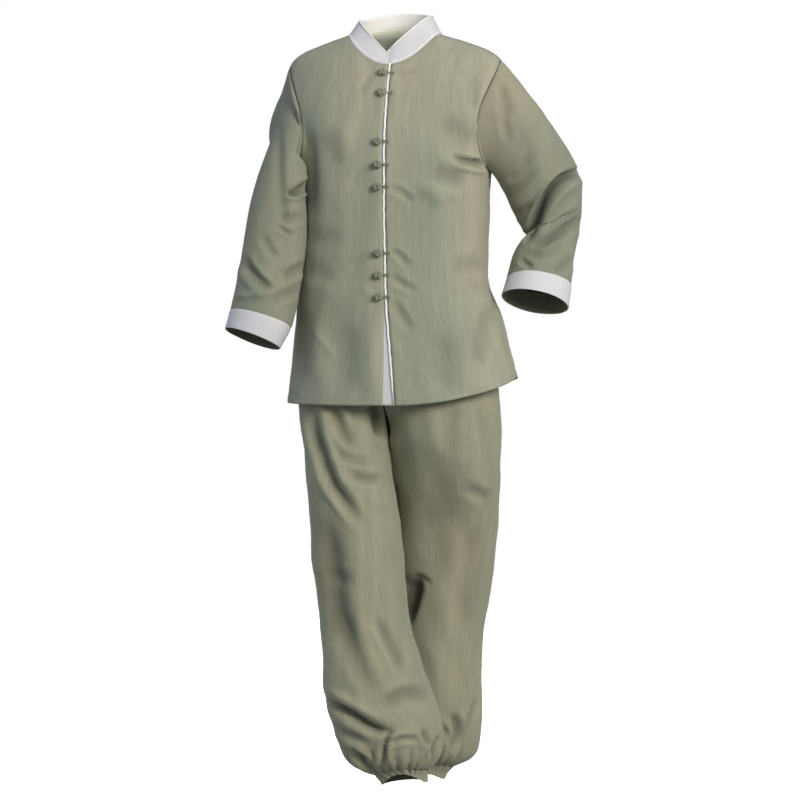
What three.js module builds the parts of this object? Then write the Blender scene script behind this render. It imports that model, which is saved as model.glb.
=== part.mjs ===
// Tai chi uniform: a jacket with a stand collar, knot buttons and turned cuffs, and trousers that are
// gathered into ankle casings. Both are hollow cloth walls in the pose of a standing wearer.
// Millimetres, +Z up, +X to the wearer's left. The wearer faces -Y. The origin is the middle of the neck.
import * as THREE from 'three';

// Cloth walls and the spaces between pieces
const WALL = 1.5;
const TRIM_WALL = 1.2;
const SEAM_GAP = 0.4;
const HALF_GAP = SEAM_GAP / 2;

// Jacket
const ARMPIT_Z = -243;
const SHOULDER_Z = -49;
const NECK_SIDE_Z = 1;
const NECK_FRONT_Z = -55;
const NECK_BACK_Z = 12;
const BODY_ROWS = 12;
const YOKE_ROWS = 10;
const FRONT_COLUMNS = 11;
const FRONT_NECK_COLUMNS = 5;
const BACK_HALF_COLUMNS = 10;
const BACK_NECK_COLUMNS = 5;
const VENT_TOP_Z = -560;
const VENT_SPREAD = 4;
const PIPING = 4;
const PIPING_RISE = 0.6;
const UNDERFLAP_TUCK = 9;
const UNDERFLAP_REACH = 2;
const COLLAR_TOP = {
  halfWidth: 64,
  frontDepth: 57,
  backDepth: 54,
  backZ: 41,
  rightZ: 26,
  leftZ: 32,
  rightFrontZ: -39,
  leftFrontZ: -30,
};

// Sleeves and cuffs
const SLEEVE_ROWS = 18;
const CUFF_ROWS = 2;
const SLEEVE_CLEARANCE = 2;
const SLEEVE_START = 0.6;
const CAP_SHARE = 0.2;
const SECTION_STEP = 0.03;
const FORWARD = new THREE.Vector3(0, -1, 0);
const SEAM_LEAN = 0.6;
const ARMHOLE_BLEND = 40;
const CUFF_FLARE = 1.2;

// Trousers
const WAIST_Z = -404;
const WAISTBAND_HEIGHT = 35;
const CROTCH_Z = -702;
const CROTCH_BLEND = 80;
const HIP_ROWS = 7;
const LEG_ROWS = 18;
const LEG_COLUMNS = 8;
const GATHERS = 18;
const COLUMNS_PER_GATHER = 4;
const GATHER_DEPTH = 1.5;
const CASING_WALL = 1;
const CASING_ROWS = 2;

// Buttons
const KNOT = { halfWidth: 8.5, halfHeight: 7.3, halfDepth: 5, lobes: 5, lobeDepth: 0.09 };
const LOOP = { length: 11, height: 5.5, thickness: 2.6 };
const BUTTON_LIFT = 0.7;

const CLOTH = new THREE.MeshStandardMaterial({ color: 0x8f9580, roughness: 0.92, metalness: 0 });
const TRIM = new THREE.MeshStandardMaterial({ color: 0xd9d8dc, roughness: 0.85, metalness: 0 });
const CORD = new THREE.MeshStandardMaterial({ color: 0x7f8672, roughness: 0.9, metalness: 0 });

// Level rings of the jacket, from the hem up. half is the half width about middle, front and back are
// the depths from the side seams, and power is the squareness of the ring.
const BODY_RINGS = [
  { z: -665, half: 207, middle: 14, front: 129, back: 123, power: 2.3 },
  { z: -600, half: 202, middle: 13, front: 126, back: 119, power: 2.3 },
  { z: -545, half: 192, middle: 9, front: 122, back: 112, power: 2.3 },
  { z: -490, half: 182, middle: 4, front: 118, back: 103, power: 2.3 },
  { z: -440, half: 168, middle: -3, front: 115, back: 95, power: 2.3 },
  { z: -380, half: 164, middle: -1, front: 113, back: 90, power: 2.3 },
  { z: -320, half: 166, middle: 1, front: 114, back: 94, power: 2.3 },
  { z: -243, half: 170, middle: 0, front: 112, back: 100, power: 2.3 },
  { z: -180, half: 182, middle: 0, front: 104, back: 99, power: 2.3 },
  { z: -110, half: 194, middle: 0, front: 88, back: 92, power: 2.3 },
  { z: -49, half: 189, middle: 0, front: 66, back: 78, power: 2.3 },
  { z: -30, half: 168, middle: 0, front: 58, back: 70, power: 2.3 },
  { z: -12, half: 121, middle: 0, front: 51, back: 62, power: 2.3 },
  { z: 1, half: 81, middle: 0, front: 43, back: 54, power: 2.3 },
  { z: 14, half: 73, middle: 0, front: 40, back: 57, power: 2.3 },
];

// Where the two front edges run. right is the wearer's right front, left is the wearer's left.
const FRONT_EDGES = [
  { z: -665, right: 5, left: 28 },
  { z: -552, right: 4, left: 17 },
  { z: -466, right: 3, left: 9 },
  { z: -380, right: 1, left: 6.5 },
  { z: -311, right: 0, left: 5 },
  { z: -259, right: -1, left: 5 },
  { z: -207, right: -4, left: 4 },
  { z: -155, right: -2, left: 4 },
  { z: -103, right: 0, left: 5 },
  { z: -50, right: 1, left: 6.2 },
];

// The hem, from the wearer's right side seam (side -1) past the middle to the left one (side 1).
const HEM = [
  { side: -1, front: -649, back: -646 },
  { side: 0, front: -648, back: -640 },
  { side: 0.25, front: -642, back: -634 },
  { side: 0.5, front: -629, back: -622 },
  { side: 0.8, front: -612, back: -608 },
  { side: 1, front: -602, back: -602 },
];

// The armhole seam from the armpit (share 0) to the shoulder tip (share 1).
const ARMHOLE = [
  { share: 0, frontX: 170, backX: 170, z: -243 },
  { share: 0.16, frontX: 161, backX: 166, z: -214 },
  { share: 0.34, frontX: 156, backX: 165, z: -178 },
  { share: 0.54, frontX: 160, backX: 168, z: -138 },
  { share: 0.74, frontX: 173, backX: 178, z: -100 },
  { share: 0.9, frontX: 185, backX: 187, z: -68 },
  { share: 1, frontX: 189, backX: 189, z: -49 },
];

// Sleeve sections from the armhole to the cuff's edge. Each runs from an inner point, on the underarm
// side, to an outer point. depth is the half width from front to back.
const LEFT_SLEEVE = [
  { at: 0, inX: 171, inY: 0, inZ: -244, outX: 192, outY: 0, outZ: -49, depth: 60 },
  { at: 0.05, inX: 173, inY: 0, inZ: -246, outX: 212, outY: 0, outZ: -72, depth: 62 },
  { at: 0.11, inX: 177, inY: 1, inZ: -250, outX: 235, outY: 2, outZ: -103, depth: 64 },
  { at: 0.18, inX: 182, inY: 3, inZ: -259, outX: 257, outY: 6, outZ: -133, depth: 65 },
  { at: 0.26, inX: 189, inY: 8, inZ: -273, outX: 278, outY: 12, outZ: -164, depth: 65 },
  { at: 0.35, inX: 199, inY: 15, inZ: -296, outX: 299, outY: 20, outZ: -197, depth: 64 },
  { at: 0.44, inX: 211, inY: 22, inZ: -323, outX: 317, outY: 32, outZ: -232, depth: 64 },
  { at: 0.52, inX: 223, inY: 27, inZ: -347, outX: 325, outY: 40, outZ: -266, depth: 64 },
  { at: 0.6, inX: 233, inY: 27, inZ: -367, outX: 324, outY: 42, outZ: -304, depth: 62 },
  { at: 0.68, inX: 220, inY: 20, inZ: -383, outX: 319, outY: 30, outZ: -344, depth: 58 },
  { at: 0.76, inX: 208, inY: 8, inZ: -398, outX: 316, outY: 14, outZ: -379, depth: 55 },
  { at: 0.84, inX: 203, inY: -4, inZ: -418, outX: 314, outY: 0, outZ: -419, depth: 52 },
  { at: 0.89, inX: 200, inY: -10, inZ: -432, outX: 313, outY: -9, outZ: -440, depth: 51 },
  { at: 1, inX: 194, inY: -22, inZ: -462, outX: 311, outY: -28, outZ: -477, depth: 50 },
];
const RIGHT_SLEEVE = [
  { at: 0, inX: -171, inY: 0, inZ: -244, outX: -192, outY: -2, outZ: -47, depth: 60 },
  { at: 0.06, inX: -171, inY: -6, inZ: -248, outX: -199, outY: -8, outZ: -72, depth: 63 },
  { at: 0.13, inX: -168, inY: -16, inZ: -256, outX: -208, outY: -14, outZ: -108, depth: 64 },
  { at: 0.21, inX: -160, inY: -30, inZ: -268, outX: -215, outY: -20, outZ: -148, depth: 64 },
  { at: 0.3, inX: -151, inY: -46, inZ: -285, outX: -223, outY: -30, outZ: -195, depth: 63 },
  { at: 0.4, inX: -146, inY: -58, inZ: -310, outX: -237, outY: -40, outZ: -248, depth: 61 },
  { at: 0.5, inX: -146, inY: -66, inZ: -342, outX: -250, outY: -50, outZ: -304, depth: 58 },
  { at: 0.6, inX: -149, inY: -75, inZ: -385, outX: -258, outY: -61, outZ: -358, depth: 55 },
  { at: 0.7, inX: -153, inY: -86, inZ: -432, outX: -264, outY: -74, outZ: -410, depth: 53 },
  { at: 0.8, inX: -158, inY: -97, inZ: -478, outX: -269, outY: -87, outZ: -455, depth: 51 },
  { at: 0.88, inX: -166, inY: -106, inZ: -512, outX: -275, outY: -96, outZ: -487, depth: 50 },
  { at: 1, inX: -184, inY: -116, inZ: -549, outX: -281, outY: -106, outZ: -520, depth: 49 },
];
const LEFT_CUFF_SHARE = 0.89;
const RIGHT_CUFF_SHARE = 0.88;

// Level rings of the trousers above the crotch. middle is the seam line, right and left are the half
// widths to the wearer's right and left.
const HIP_RINGS = [
  { z: -395, middle: 0, right: 146, left: 146, front: 96, back: 72, power: 2.2 },
  { z: -440, middle: -3, right: 165.6, left: 165.6, front: 99, back: 78, power: 2.2 },
  { z: -500, middle: -4, right: 162, left: 168, front: 103, back: 87, power: 2.2 },
  { z: -560, middle: -6, right: 168, left: 184, front: 108, back: 97, power: 2.2 },
  { z: -610, middle: -7, right: 170, left: 188, front: 110, back: 104, power: 2.2 },
  { z: -660, middle: -8, right: 170, left: 194, front: 112, back: 108, power: 2.2 },
  { z: -710, middle: -8, right: 168, left: 194, front: 112, back: 110, power: 2.2 },
];

// Rings of the two legs from the crotch down to the ankle casing. x and y are the ring's centre. skew
// moves the inner seam back and the outer seam forward, tilt raises the ring towards the wearer's left
// and arch raises its front.
const RIGHT_LEG = [
  { z: -702, x: -87, y: -5, halfX: 79, halfY: 108, skew: 0, tilt: 0, arch: 0 },
  { z: -742, x: -80.5, y: -33, halfX: 77.5, halfY: 99, skew: -17, tilt: 0, arch: 0 },
  { z: -790, x: -73.5, y: -42, halfX: 78.5, halfY: 98, skew: -12, tilt: 0, arch: 0 },
  { z: -857, x: -62, y: -55, halfX: 81, halfY: 88, skew: -6, tilt: 0, arch: 0 },
  { z: -927, x: -54, y: -63, halfX: 81, halfY: 82, skew: 0, tilt: 0, arch: 0 },
  { z: -997, x: -46, y: -67, halfX: 79, halfY: 78, skew: 0, tilt: 0, arch: 0 },
  { z: -1044, x: -40, y: -70, halfX: 81, halfY: 76, skew: 0, tilt: 0, arch: 0 },
  { z: -1093, x: -28, y: -75, halfX: 87, halfY: 74, skew: 0, tilt: 0, arch: 0 },
  { z: -1140, x: -18, y: -79, halfX: 94, halfY: 74, skew: 0, tilt: 0, arch: 0 },
  { z: -1188, x: -4, y: -83, halfX: 100, halfY: 76, skew: 0, tilt: 0, arch: 0 },
  { z: -1223, x: 6, y: -85, halfX: 95, halfY: 74, skew: 0, tilt: 0.02, arch: 1 },
  { z: -1252, x: 12, y: -85, halfX: 84, halfY: 66, skew: 0, tilt: 0.05, arch: 3 },
  { z: -1276, x: 18, y: -85, halfX: 67, halfY: 54, skew: 0, tilt: 0.09, arch: 6 },
  { z: -1290, x: 27, y: -85, halfX: 46, halfY: 41, skew: 0, tilt: 0.13, arch: 9 },
];
const RIGHT_CASING = [
  { z: -1290, x: 27, y: -85, halfX: 46, halfY: 41, tilt: 0.13, arch: 9 },
  { z: -1301, x: 31, y: -85, halfX: 41, halfY: 37, tilt: 0.12, arch: 15 },
  { z: -1311, x: 34, y: -85, halfX: 39, halfY: 36, tilt: 0.09, arch: 22 },
];
const LEFT_LEG = [
  { z: -702, x: 90, y: -2, halfX: 98, halfY: 106, skew: -3, tilt: 0, arch: 0 },
  { z: -742, x: 87, y: 14, halfX: 101, halfY: 105, skew: 26, tilt: 0, arch: 0 },
  { z: -790, x: 85, y: 27, halfX: 99, halfY: 100, skew: 19, tilt: 0, arch: 0 },
  { z: -857, x: 80, y: 46, halfX: 96, halfY: 86, skew: 8, tilt: 0, arch: 0 },
  { z: -920, x: 76, y: 57, halfX: 91, halfY: 80, skew: 0, tilt: 0, arch: 0 },
  { z: -1002, x: 70, y: 68, halfX: 84, halfY: 74, skew: 0, tilt: 0, arch: 0 },
  { z: -1093, x: 62, y: 76, halfX: 78, halfY: 70, skew: 0, tilt: 0, arch: 0 },
  { z: -1184, x: 60, y: 79, halfX: 80, halfY: 72, skew: 0, tilt: 0, arch: 0 },
  { z: -1228, x: 59, y: 79, halfX: 81, halfY: 72, skew: 0, tilt: 0, arch: 1 },
  { z: -1262, x: 55, y: 79, halfX: 79, halfY: 67, skew: 0, tilt: 0, arch: 3 },
  { z: -1288, x: 53, y: 79, halfX: 68, halfY: 56, skew: 0, tilt: 0, arch: 6 },
  { z: -1306, x: 46, y: 79, halfX: 44, halfY: 41, skew: 0, tilt: 0, arch: 9 },
];
const LEFT_CASING = [
  { z: -1306, x: 46, y: 79, halfX: 44, halfY: 41, tilt: 0, arch: 9 },
  { z: -1318, x: 40, y: 79, halfX: 38, halfY: 37, tilt: 0, arch: 12 },
  { z: -1330, x: 36, y: 79, halfX: 36, halfY: 36, tilt: 0, arch: 16 },
];

// The largest folds, as troughs between two places seen from the front. face is -1 on the front of a
// piece and 1 on its back. width is the half width of the trough, and a negative depth is a ridge.
const BODY_FOLDS = [
  { face: -1, fromX: 118, fromZ: -226, toX: 160, toZ: -240, width: 12, depth: 4 },
  { face: -1, fromX: -128, fromZ: -262, toX: -92, toZ: -330, width: 20, depth: 4 },
  { face: -1, fromX: 96, fromZ: -420, toX: 128, toZ: -600, width: 26, depth: 5 },
  { face: -1, fromX: -120, fromZ: -470, toX: -136, toZ: -640, width: 24, depth: 5 },
  { face: -1, fromX: 150, fromZ: -450, toX: 170, toZ: -600, width: 16, depth: -4 },
  { face: 1, fromX: 118, fromZ: -226, toX: 160, toZ: -244, width: 14, depth: 4 },
  { face: 1, fromX: -118, fromZ: -226, toX: -160, toZ: -244, width: 14, depth: 4 },
  { face: 1, fromX: 58, fromZ: -400, toX: 84, toZ: -630, width: 28, depth: 6 },
  { face: 1, fromX: -52, fromZ: -410, toX: -80, toZ: -630, width: 28, depth: 6 },
  { face: 1, fromX: -60, fromZ: -372, toX: 62, toZ: -366, width: 18, depth: 5 },
];
const SLEEVE_FOLDS = [
  { face: -1, fromX: 318, fromZ: -236, toX: 262, toZ: -290, width: 15, depth: 9 },
  { face: -1, fromX: 262, fromZ: -290, toX: 240, toZ: -352, width: 14, depth: 8 },
  { face: -1, fromX: 306, fromZ: -270, toX: 268, toZ: -318, width: 13, depth: -4 },
  { face: -1, fromX: 236, fromZ: -372, toX: 290, toZ: -352, width: 12, depth: 5 },
  { face: -1, fromX: 196, fromZ: -262, toX: 262, toZ: -226, width: 13, depth: 4 },
  { face: 1, fromX: 232, fromZ: -366, toX: 296, toZ: -330, width: 14, depth: 6 },
  { face: 1, fromX: 226, fromZ: -352, toX: 290, toZ: -290, width: 13, depth: 5 },
  { face: -1, fromX: -148, fromZ: -274, toX: -206, toZ: -300, width: 14, depth: 6 },
  { face: -1, fromX: -158, fromZ: -318, toX: -214, toZ: -330, width: 13, depth: 4 },
  { face: -1, fromX: -258, fromZ: -386, toX: -214, toZ: -446, width: 14, depth: 5 },
  { face: -1, fromX: -236, fromZ: -416, toX: -186, toZ: -470, width: 12, depth: 4 },
  { face: 1, fromX: -160, fromZ: -300, toX: -226, toZ: -322, width: 14, depth: 6 },
  { face: 1, fromX: -170, fromZ: -352, toX: -226, toZ: -368, width: 12, depth: 4 },
];
const LEG_FOLDS = [
  { face: -1, fromX: -160, fromZ: -660, toX: -138, toZ: -740, width: 14, depth: 6 },
  { face: -1, fromX: -138, fromZ: -740, toX: -84, toZ: -850, width: 14, depth: 8 },
  { face: -1, fromX: -108, fromZ: -670, toX: -76, toZ: -756, width: 13, depth: 6 },
  { face: -1, fromX: -104, fromZ: -744, toX: -30, toZ: -770, width: 11, depth: 5 },
  { face: -1, fromX: -84, fromZ: -776, toX: -18, toZ: -800, width: 11, depth: 4 },
  { face: -1, fromX: -34, fromZ: -655, toX: -14, toZ: -716, width: 14, depth: 14 },
  { face: -1, fromX: -84, fromZ: -850, toX: -62, toZ: -990, width: 22, depth: 6 },
  { face: -1, fromX: -24, fromZ: -1182, toX: 26, toZ: -1152, width: 12, depth: 6 },
  { face: -1, fromX: 26, fromZ: -1152, toX: 74, toZ: -1168, width: 12, depth: 5 },
  { face: -1, fromX: -104, fromZ: -1172, toX: -56, toZ: -1212, width: 15, depth: 12 },
  { face: -1, fromX: -56, fromZ: -1212, toX: 2, toZ: -1230, width: 15, depth: 12 },
  { face: -1, fromX: 2, fromZ: -1230, toX: 0, toZ: -1276, width: 11, depth: 8 },
  { face: -1, fromX: 16, fromZ: -1240, toX: 60, toZ: -1234, width: 9, depth: 4 },
  { face: -1, fromX: 40, fromZ: -956, toX: 62, toZ: -1012, width: 15, depth: 9 },
  { face: -1, fromX: 128, fromZ: -1204, toX: 102, toZ: -1270, width: 13, depth: 7 },
  { face: -1, fromX: 150, fromZ: -690, toX: 146, toZ: -860, width: 20, depth: 4 },
  { face: 1, fromX: 60, fromZ: -700, toX: 112, toZ: -800, width: 20, depth: 7 },
  { face: 1, fromX: -60, fromZ: -700, toX: -116, toZ: -800, width: 20, depth: 7 },
  { face: 1, fromX: 20, fromZ: -960, toX: 104, toZ: -990, width: 18, depth: 7 },
  { face: 1, fromX: -96, fromZ: -985, toX: -10, toZ: -1010, width: 18, depth: 7 },
  { face: 1, fromX: 24, fromZ: -1190, toX: 96, toZ: -1216, width: 16, depth: 8 },
  { face: 1, fromX: -60, fromZ: -1186, toX: 30, toZ: -1206, width: 16, depth: 8 },
];

// Heights of the knot buttons, with the place of each knot's middle
const BUTTONS = [
  { z: -73, x: -6 },
  { z: -108, x: -6 },
  { z: -193, x: -9 },
  { z: -233, x: -8 },
  { z: -271, x: -8 },
  { z: -385, x: -6 },
  { z: -423, x: -6 },
  { z: -461, x: -5 },
];

const { lerp, clamp, smoothstep } = THREE.MathUtils;

// Values of a table's columns at a place along one of them, on a smooth curve through its rows.
function sample(table, key, place) {
  const rising = table[table.length - 1][key] > table[0][key];
  const rows = rising ? table : [...table].reverse();
  const last = rows.length - 1;
  const at = clamp(place, rows[0][key], rows[last][key]);
  let low = 0;
  while (low < last - 1 && rows[low + 1][key] < at) low += 1;
  const rowAt = (i) => rows[clamp(i, 0, last)];
  const [before, start, end, after] = [low - 1, low, low + 1, low + 2].map(rowAt);
  const span = end[key] - start[key];
  const share = (at - start[key]) / span;
  const values = {};
  for (const name of Object.keys(start)) {
    const slopeIn = (end[name] - before[name]) / (end[key] - before[key]);
    const slopeOut = (after[name] - start[name]) / (after[key] - start[key]);
    const s2 = share * share;
    const s3 = s2 * share;
    values[name] = (2 * s3 - 3 * s2 + 1) * start[name] + (s3 - 2 * s2 + share) * span * slopeIn
      + (3 * s2 - 2 * s3) * end[name] + (s3 - s2) * span * slopeOut;
  }
  return values;
}

// Unit normals of a grid of points. columns run along each row, and wrap joins its two ends.
function gridNormals(grid, wrap, outward) {
  const rows = grid.length;
  const columns = grid[0].length;
  return grid.map((row, r) => row.map((point, c) => {
    const left = wrap ? (c + columns - 1) % columns : Math.max(c - 1, 0);
    const right = wrap ? (c + 1) % columns : Math.min(c + 1, columns - 1);
    const above = grid[Math.max(r - 1, 0)][c];
    const below = grid[Math.min(r + 1, rows - 1)][c];
    const along = new THREE.Vector3().subVectors(row[right], row[left]);
    const down = new THREE.Vector3().subVectors(below, above);
    return along.cross(down).normalize().multiplyScalar(outward);
  }));
}

// Moves the inner points of a grid along their normals by the folds of one face. Points on an edge
// that is sewn to another piece stay where they are.
function foldGrid(grid, { wrap = false, outward, folds = [], faceOf, sewn = {} }) {
  const normals = gridNormals(grid, wrap, outward);
  const lastRow = grid.length - 1;
  const lastColumn = grid[0].length - 1;
  return grid.map((row, r) => row.map((point, c) => {
    const onEdge = (sewn.top && r === 0) || (sewn.bottom && r === lastRow)
      || (!wrap && ((sewn.start && c === 0) || (sewn.end && c === lastColumn)));
    if (onEdge) return point.clone();
    const shift = folds.reduce((sum, fold) => sum + foldDepth(fold, point, faceOf(r, c)), 0);
    return point.clone().addScaledVector(normals[r][c], -shift);
  }));
}

function foldDepth(fold, point, face) {
  if (fold.face !== face) return 0;
  const runX = fold.toX - fold.fromX;
  const runZ = fold.toZ - fold.fromZ;
  const along = (point.x - fold.fromX) * runX + (point.z - fold.fromZ) * runZ;
  const share = clamp(along / (runX * runX + runZ * runZ), 0, 1);
  const away = Math.hypot(point.x - fold.fromX - share * runX, point.z - fold.fromZ - share * runZ);
  return fold.depth * Math.exp(-((away / fold.width) ** 2));
}

// The inner side of a cloth wall. keep may move an inner point, to hold it on its side of a seam.
function innerGrid(grid, { wrap = false, outward, thickness = WALL, keep }) {
  const normals = gridNormals(grid, wrap, outward);
  return grid.map((row, r) => row.map((point, c) => {
    const inner = point.clone().addScaledVector(normals[r][c], -thickness);
    if (keep) keep(inner, point, r, c);
    return inner;
  }));
}

// A closed body between an outer and an inner grid of points.
function wallGeometry(outer, inner, wrap = false) {
  const rows = outer.length;
  const columns = outer[0].length;
  const positions = [...outer.flat(), ...inner.flat()].flatMap((point) => point.toArray());
  const index = [];
  const out = (r, c) => r * columns + (c % columns);
  const back = (r, c) => rows * columns + out(r, c);
  const quad = (a, b, c, d) => index.push(a, b, c, a, c, d);
  const steps = wrap ? columns : columns - 1;
  for (let r = 0; r < rows - 1; r += 1) {
    for (let c = 0; c < steps; c += 1) {
      quad(out(r, c), out(r, c + 1), out(r + 1, c + 1), out(r + 1, c));
      quad(back(r, c), back(r + 1, c), back(r + 1, c + 1), back(r, c + 1));
    }
  }
  for (let c = 0; c < steps; c += 1) {
    quad(out(0, c), back(0, c), back(0, c + 1), out(0, c + 1));
    quad(out(rows - 1, c), out(rows - 1, c + 1), back(rows - 1, c + 1), back(rows - 1, c));
  }
  for (let r = 0; !wrap && r < rows - 1; r += 1) {
    quad(out(r, 0), out(r + 1, 0), back(r + 1, 0), back(r, 0));
    quad(out(r, columns - 1), back(r, columns - 1), back(r + 1, columns - 1), out(r + 1, columns - 1));
  }
  return facingOut(positions, index);
}

// An indexed geometry whose faces point out of its volume.
function facingOut(positions, index) {
  const corner = (i) => new THREE.Vector3().fromArray(positions, 3 * i);
  let volume = 0;
  for (let i = 0; i < index.length; i += 3) {
    volume += corner(index[i]).dot(corner(index[i + 1]).cross(corner(index[i + 2])));
  }
  if (volume < 0) {
    for (let i = 0; i < index.length; i += 3) [index[i], index[i + 1]] = [index[i + 1], index[i]];
  }
  const geometry = new THREE.BufferGeometry();
  geometry.setAttribute('position', new THREE.Float32BufferAttribute(positions, 3));
  geometry.setIndex(index);
  geometry.computeVertexNormals();
  return geometry;
}

const uniform = new THREE.Group();

function addPiece(name, geometry, material) {
  const mesh = new THREE.Mesh(geometry, material);
  mesh.name = name;
  uniform.add(mesh);
  return mesh;
}

// The jacket's form

const bodyRing = (z) => sample(BODY_RINGS, 'z', z);
const frontEdge = (z) => sample(FRONT_EDGES, 'z', z);

// The depth of a ring at an offset from its middle.
function ringDepth(offset, half, depth, power) {
  return depth * Math.max(0, 1 - Math.abs(offset / half) ** power) ** (1 / power);
}

// A point of the jacket at a place seen from the front. face is -1 for the front, 1 for the back.
function bodyPoint(x, z, face) {
  const ring = bodyRing(z);
  const depth = face < 0 ? ring.front : ring.back;
  return new THREE.Vector3(x, face * ringDepth(x - ring.middle, ring.half, depth, ring.power), z);
}

// Half the space between front and back at the side seam. It widens down the vent above the hem.
function sideGap(z) {
  return HALF_GAP + VENT_SPREAD * smoothstep(VENT_TOP_Z - z, 0, VENT_TOP_Z - HEM[0].front);
}

// The neckline at an angle from the front middle (0) past the side (90 degrees) to the back middle.
function necklinePlace(angle) {
  const end = angle < Math.PI / 2 ? NECK_FRONT_Z : NECK_BACK_Z;
  return {
    x: bodyRing(NECK_SIDE_Z).half * Math.sin(angle),
    z: lerp(NECK_SIDE_Z, end, Math.cos(angle) ** 2),
  };
}

// The top edge of half a panel, from the middle line over the neckline to the shoulder tip.
function topPlace(column, columns, neckColumns, angleStart) {
  if (column <= neckColumns) {
    const share = column / neckColumns;
    return necklinePlace(lerp(angleStart, Math.PI / 2, share));
  }
  const share = (column - neckColumns) / (columns - neckColumns);
  const z = lerp(NECK_SIDE_Z, SHOULDER_Z, share);
  const ring = bodyRing(z);
  return { x: ring.middle + ring.half, z };
}

// Half a jacket panel: rows from the hem up to the neckline and shoulder, columns from the middle
// line to the side seam. side is 1 for the wearer's left, face -1 for the front, and middleX gives
// the place of the middle line at a height.
function jacketHalf({ side, face, columns, neckColumns, middleX }) {
  const hemKey = face < 0 ? 'front' : 'back';
  const armholeKey = face < 0 ? 'frontX' : 'backX';
  const neckAngle = Math.asin((side * middleX(NECK_FRONT_Z)) / bodyRing(NECK_SIDE_Z).half);
  const angleStart = face < 0 ? neckAngle : Math.PI;
  const ringX = (z, share) => {
    const ring = bodyRing(z);
    const start = Math.asin((side * (middleX(z) - ring.middle)) / ring.half);
    return ring.middle + side * ring.half * Math.sin(lerp(start, Math.PI / 2, share));
  };
  const place = (x, z) => {
    const point = bodyPoint(x, z, face);
    point.y += face * sideGap(z);
    return point;
  };
  const rows = [];
  for (let r = 0; r < BODY_ROWS; r += 1) {
    rows.push(Array.from({ length: columns + 1 }, (_, c) => {
      const hem = sample(HEM, 'side', (side * c) / columns)[hemKey];
      const z = lerp(hem, ARMPIT_Z, r / BODY_ROWS);
      return place(ringX(z, c / columns), z);
    }));
  }
  const neckZ = necklinePlace(angleStart).z;
  for (let r = 0; r <= YOKE_ROWS; r += 1) {
    const up = r / YOKE_ROWS;
    const hole = sample(ARMHOLE, 'share', up);
    const middleZ = lerp(ARMPIT_Z, neckZ, up);
    rows.push(Array.from({ length: columns + 1 }, (_, c) => {
      const across = c / columns;
      const bottom = { x: ringX(ARMPIT_Z, across), z: ARMPIT_Z };
      const top = topPlace(c, columns, neckColumns, angleStart);
      const start = { x: middleX(middleZ), z: middleZ };
      const end = { x: side * hole[armholeKey], z: hole.z };
      const corners = {
        bottomStart: { x: middleX(ARMPIT_Z), z: ARMPIT_Z },
        bottomEnd: { x: ringX(ARMPIT_Z, 1), z: ARMPIT_Z },
        topStart: { x: middleX(neckZ), z: neckZ },
        topEnd: { x: side * ARMHOLE[ARMHOLE.length - 1][armholeKey], z: SHOULDER_Z },
      };
      const blend = (axis) => {
        const topValue = axis === 'x' ? side * top.x : top.z;
        return lerp(bottom[axis], topValue, up) + lerp(start[axis], end[axis], across)
          - lerp(lerp(corners.bottomStart[axis], corners.topStart[axis], up),
            lerp(corners.bottomEnd[axis], corners.topEnd[axis], up), across);
      };
      return place(blend('x'), blend('z'));
    }));
  }
  return rows;
}

const keepFace = (face) => (inner, outer) => {
  inner.y = face < 0 ? Math.min(inner.y, -sideGap(outer.z)) : Math.max(inner.y, sideGap(outer.z));
};

function cloth(grid, options) {
  const outer = foldGrid(grid, options);
  return { outer, inner: innerGrid(outer, options) };
}

// Jacket panels

function frontPanel(side) {
  const edge = side < 0 ? (z) => frontEdge(z).right : (z) => frontEdge(z).left;
  const grid = jacketHalf({
    side, face: -1, columns: FRONT_COLUMNS, neckColumns: FRONT_NECK_COLUMNS, middleX: edge,
  });
  return cloth(grid, {
    outward: side, folds: BODY_FOLDS, faceOf: () => -1, keep: keepFace(-1),
    sewn: { start: true, end: true, bottom: true },
  });
}

function backPanel() {
  const half = (side) => jacketHalf({
    side, face: 1, columns: BACK_HALF_COLUMNS, neckColumns: BACK_NECK_COLUMNS, middleX: () => 0,
  });
  const right = half(-1);
  const left = half(1);
  const grid = right.map((row, r) => [...row].reverse().concat(left[r].slice(1)));
  return cloth(grid, {
    outward: -1, folds: BODY_FOLDS, faceOf: () => 1, keep: keepFace(1),
    sewn: { start: true, end: true, bottom: true },
  });
}

const rightFront = frontPanel(-1);
const leftFront = frontPanel(1);
const back = backPanel();
addPiece('jacket_front_right', wallGeometry(rightFront.outer, rightFront.inner), CLOTH);
addPiece('jacket_front_left', wallGeometry(leftFront.outer, leftFront.inner), CLOTH);
addPiece('jacket_back', wallGeometry(back.outer, back.inner), CLOTH);

// Piping on the wearer's left front edge, and the strip behind the opening

function edgeStrip(fromX, toX, rise, thickness) {
  const lastRow = leftFront.outer.length - 1;
  const grid = leftFront.outer.map((row, r) => {
    const z = row[0].z + (r === lastRow ? -SEAM_GAP : 0);
    return [fromX(z), toX(z)].map((x) => bodyPoint(x, z, -1));
  });
  const normals = gridNormals(grid, false, 1);
  const raise = (p, r, c) => p.clone().addScaledVector(normals[r][c], rise);
  const raised = grid.map((row, r) => row.map((p, c) => raise(p, r, c)));
  return wallGeometry(raised, innerGrid(raised, { outward: 1, thickness }));
}

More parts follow.
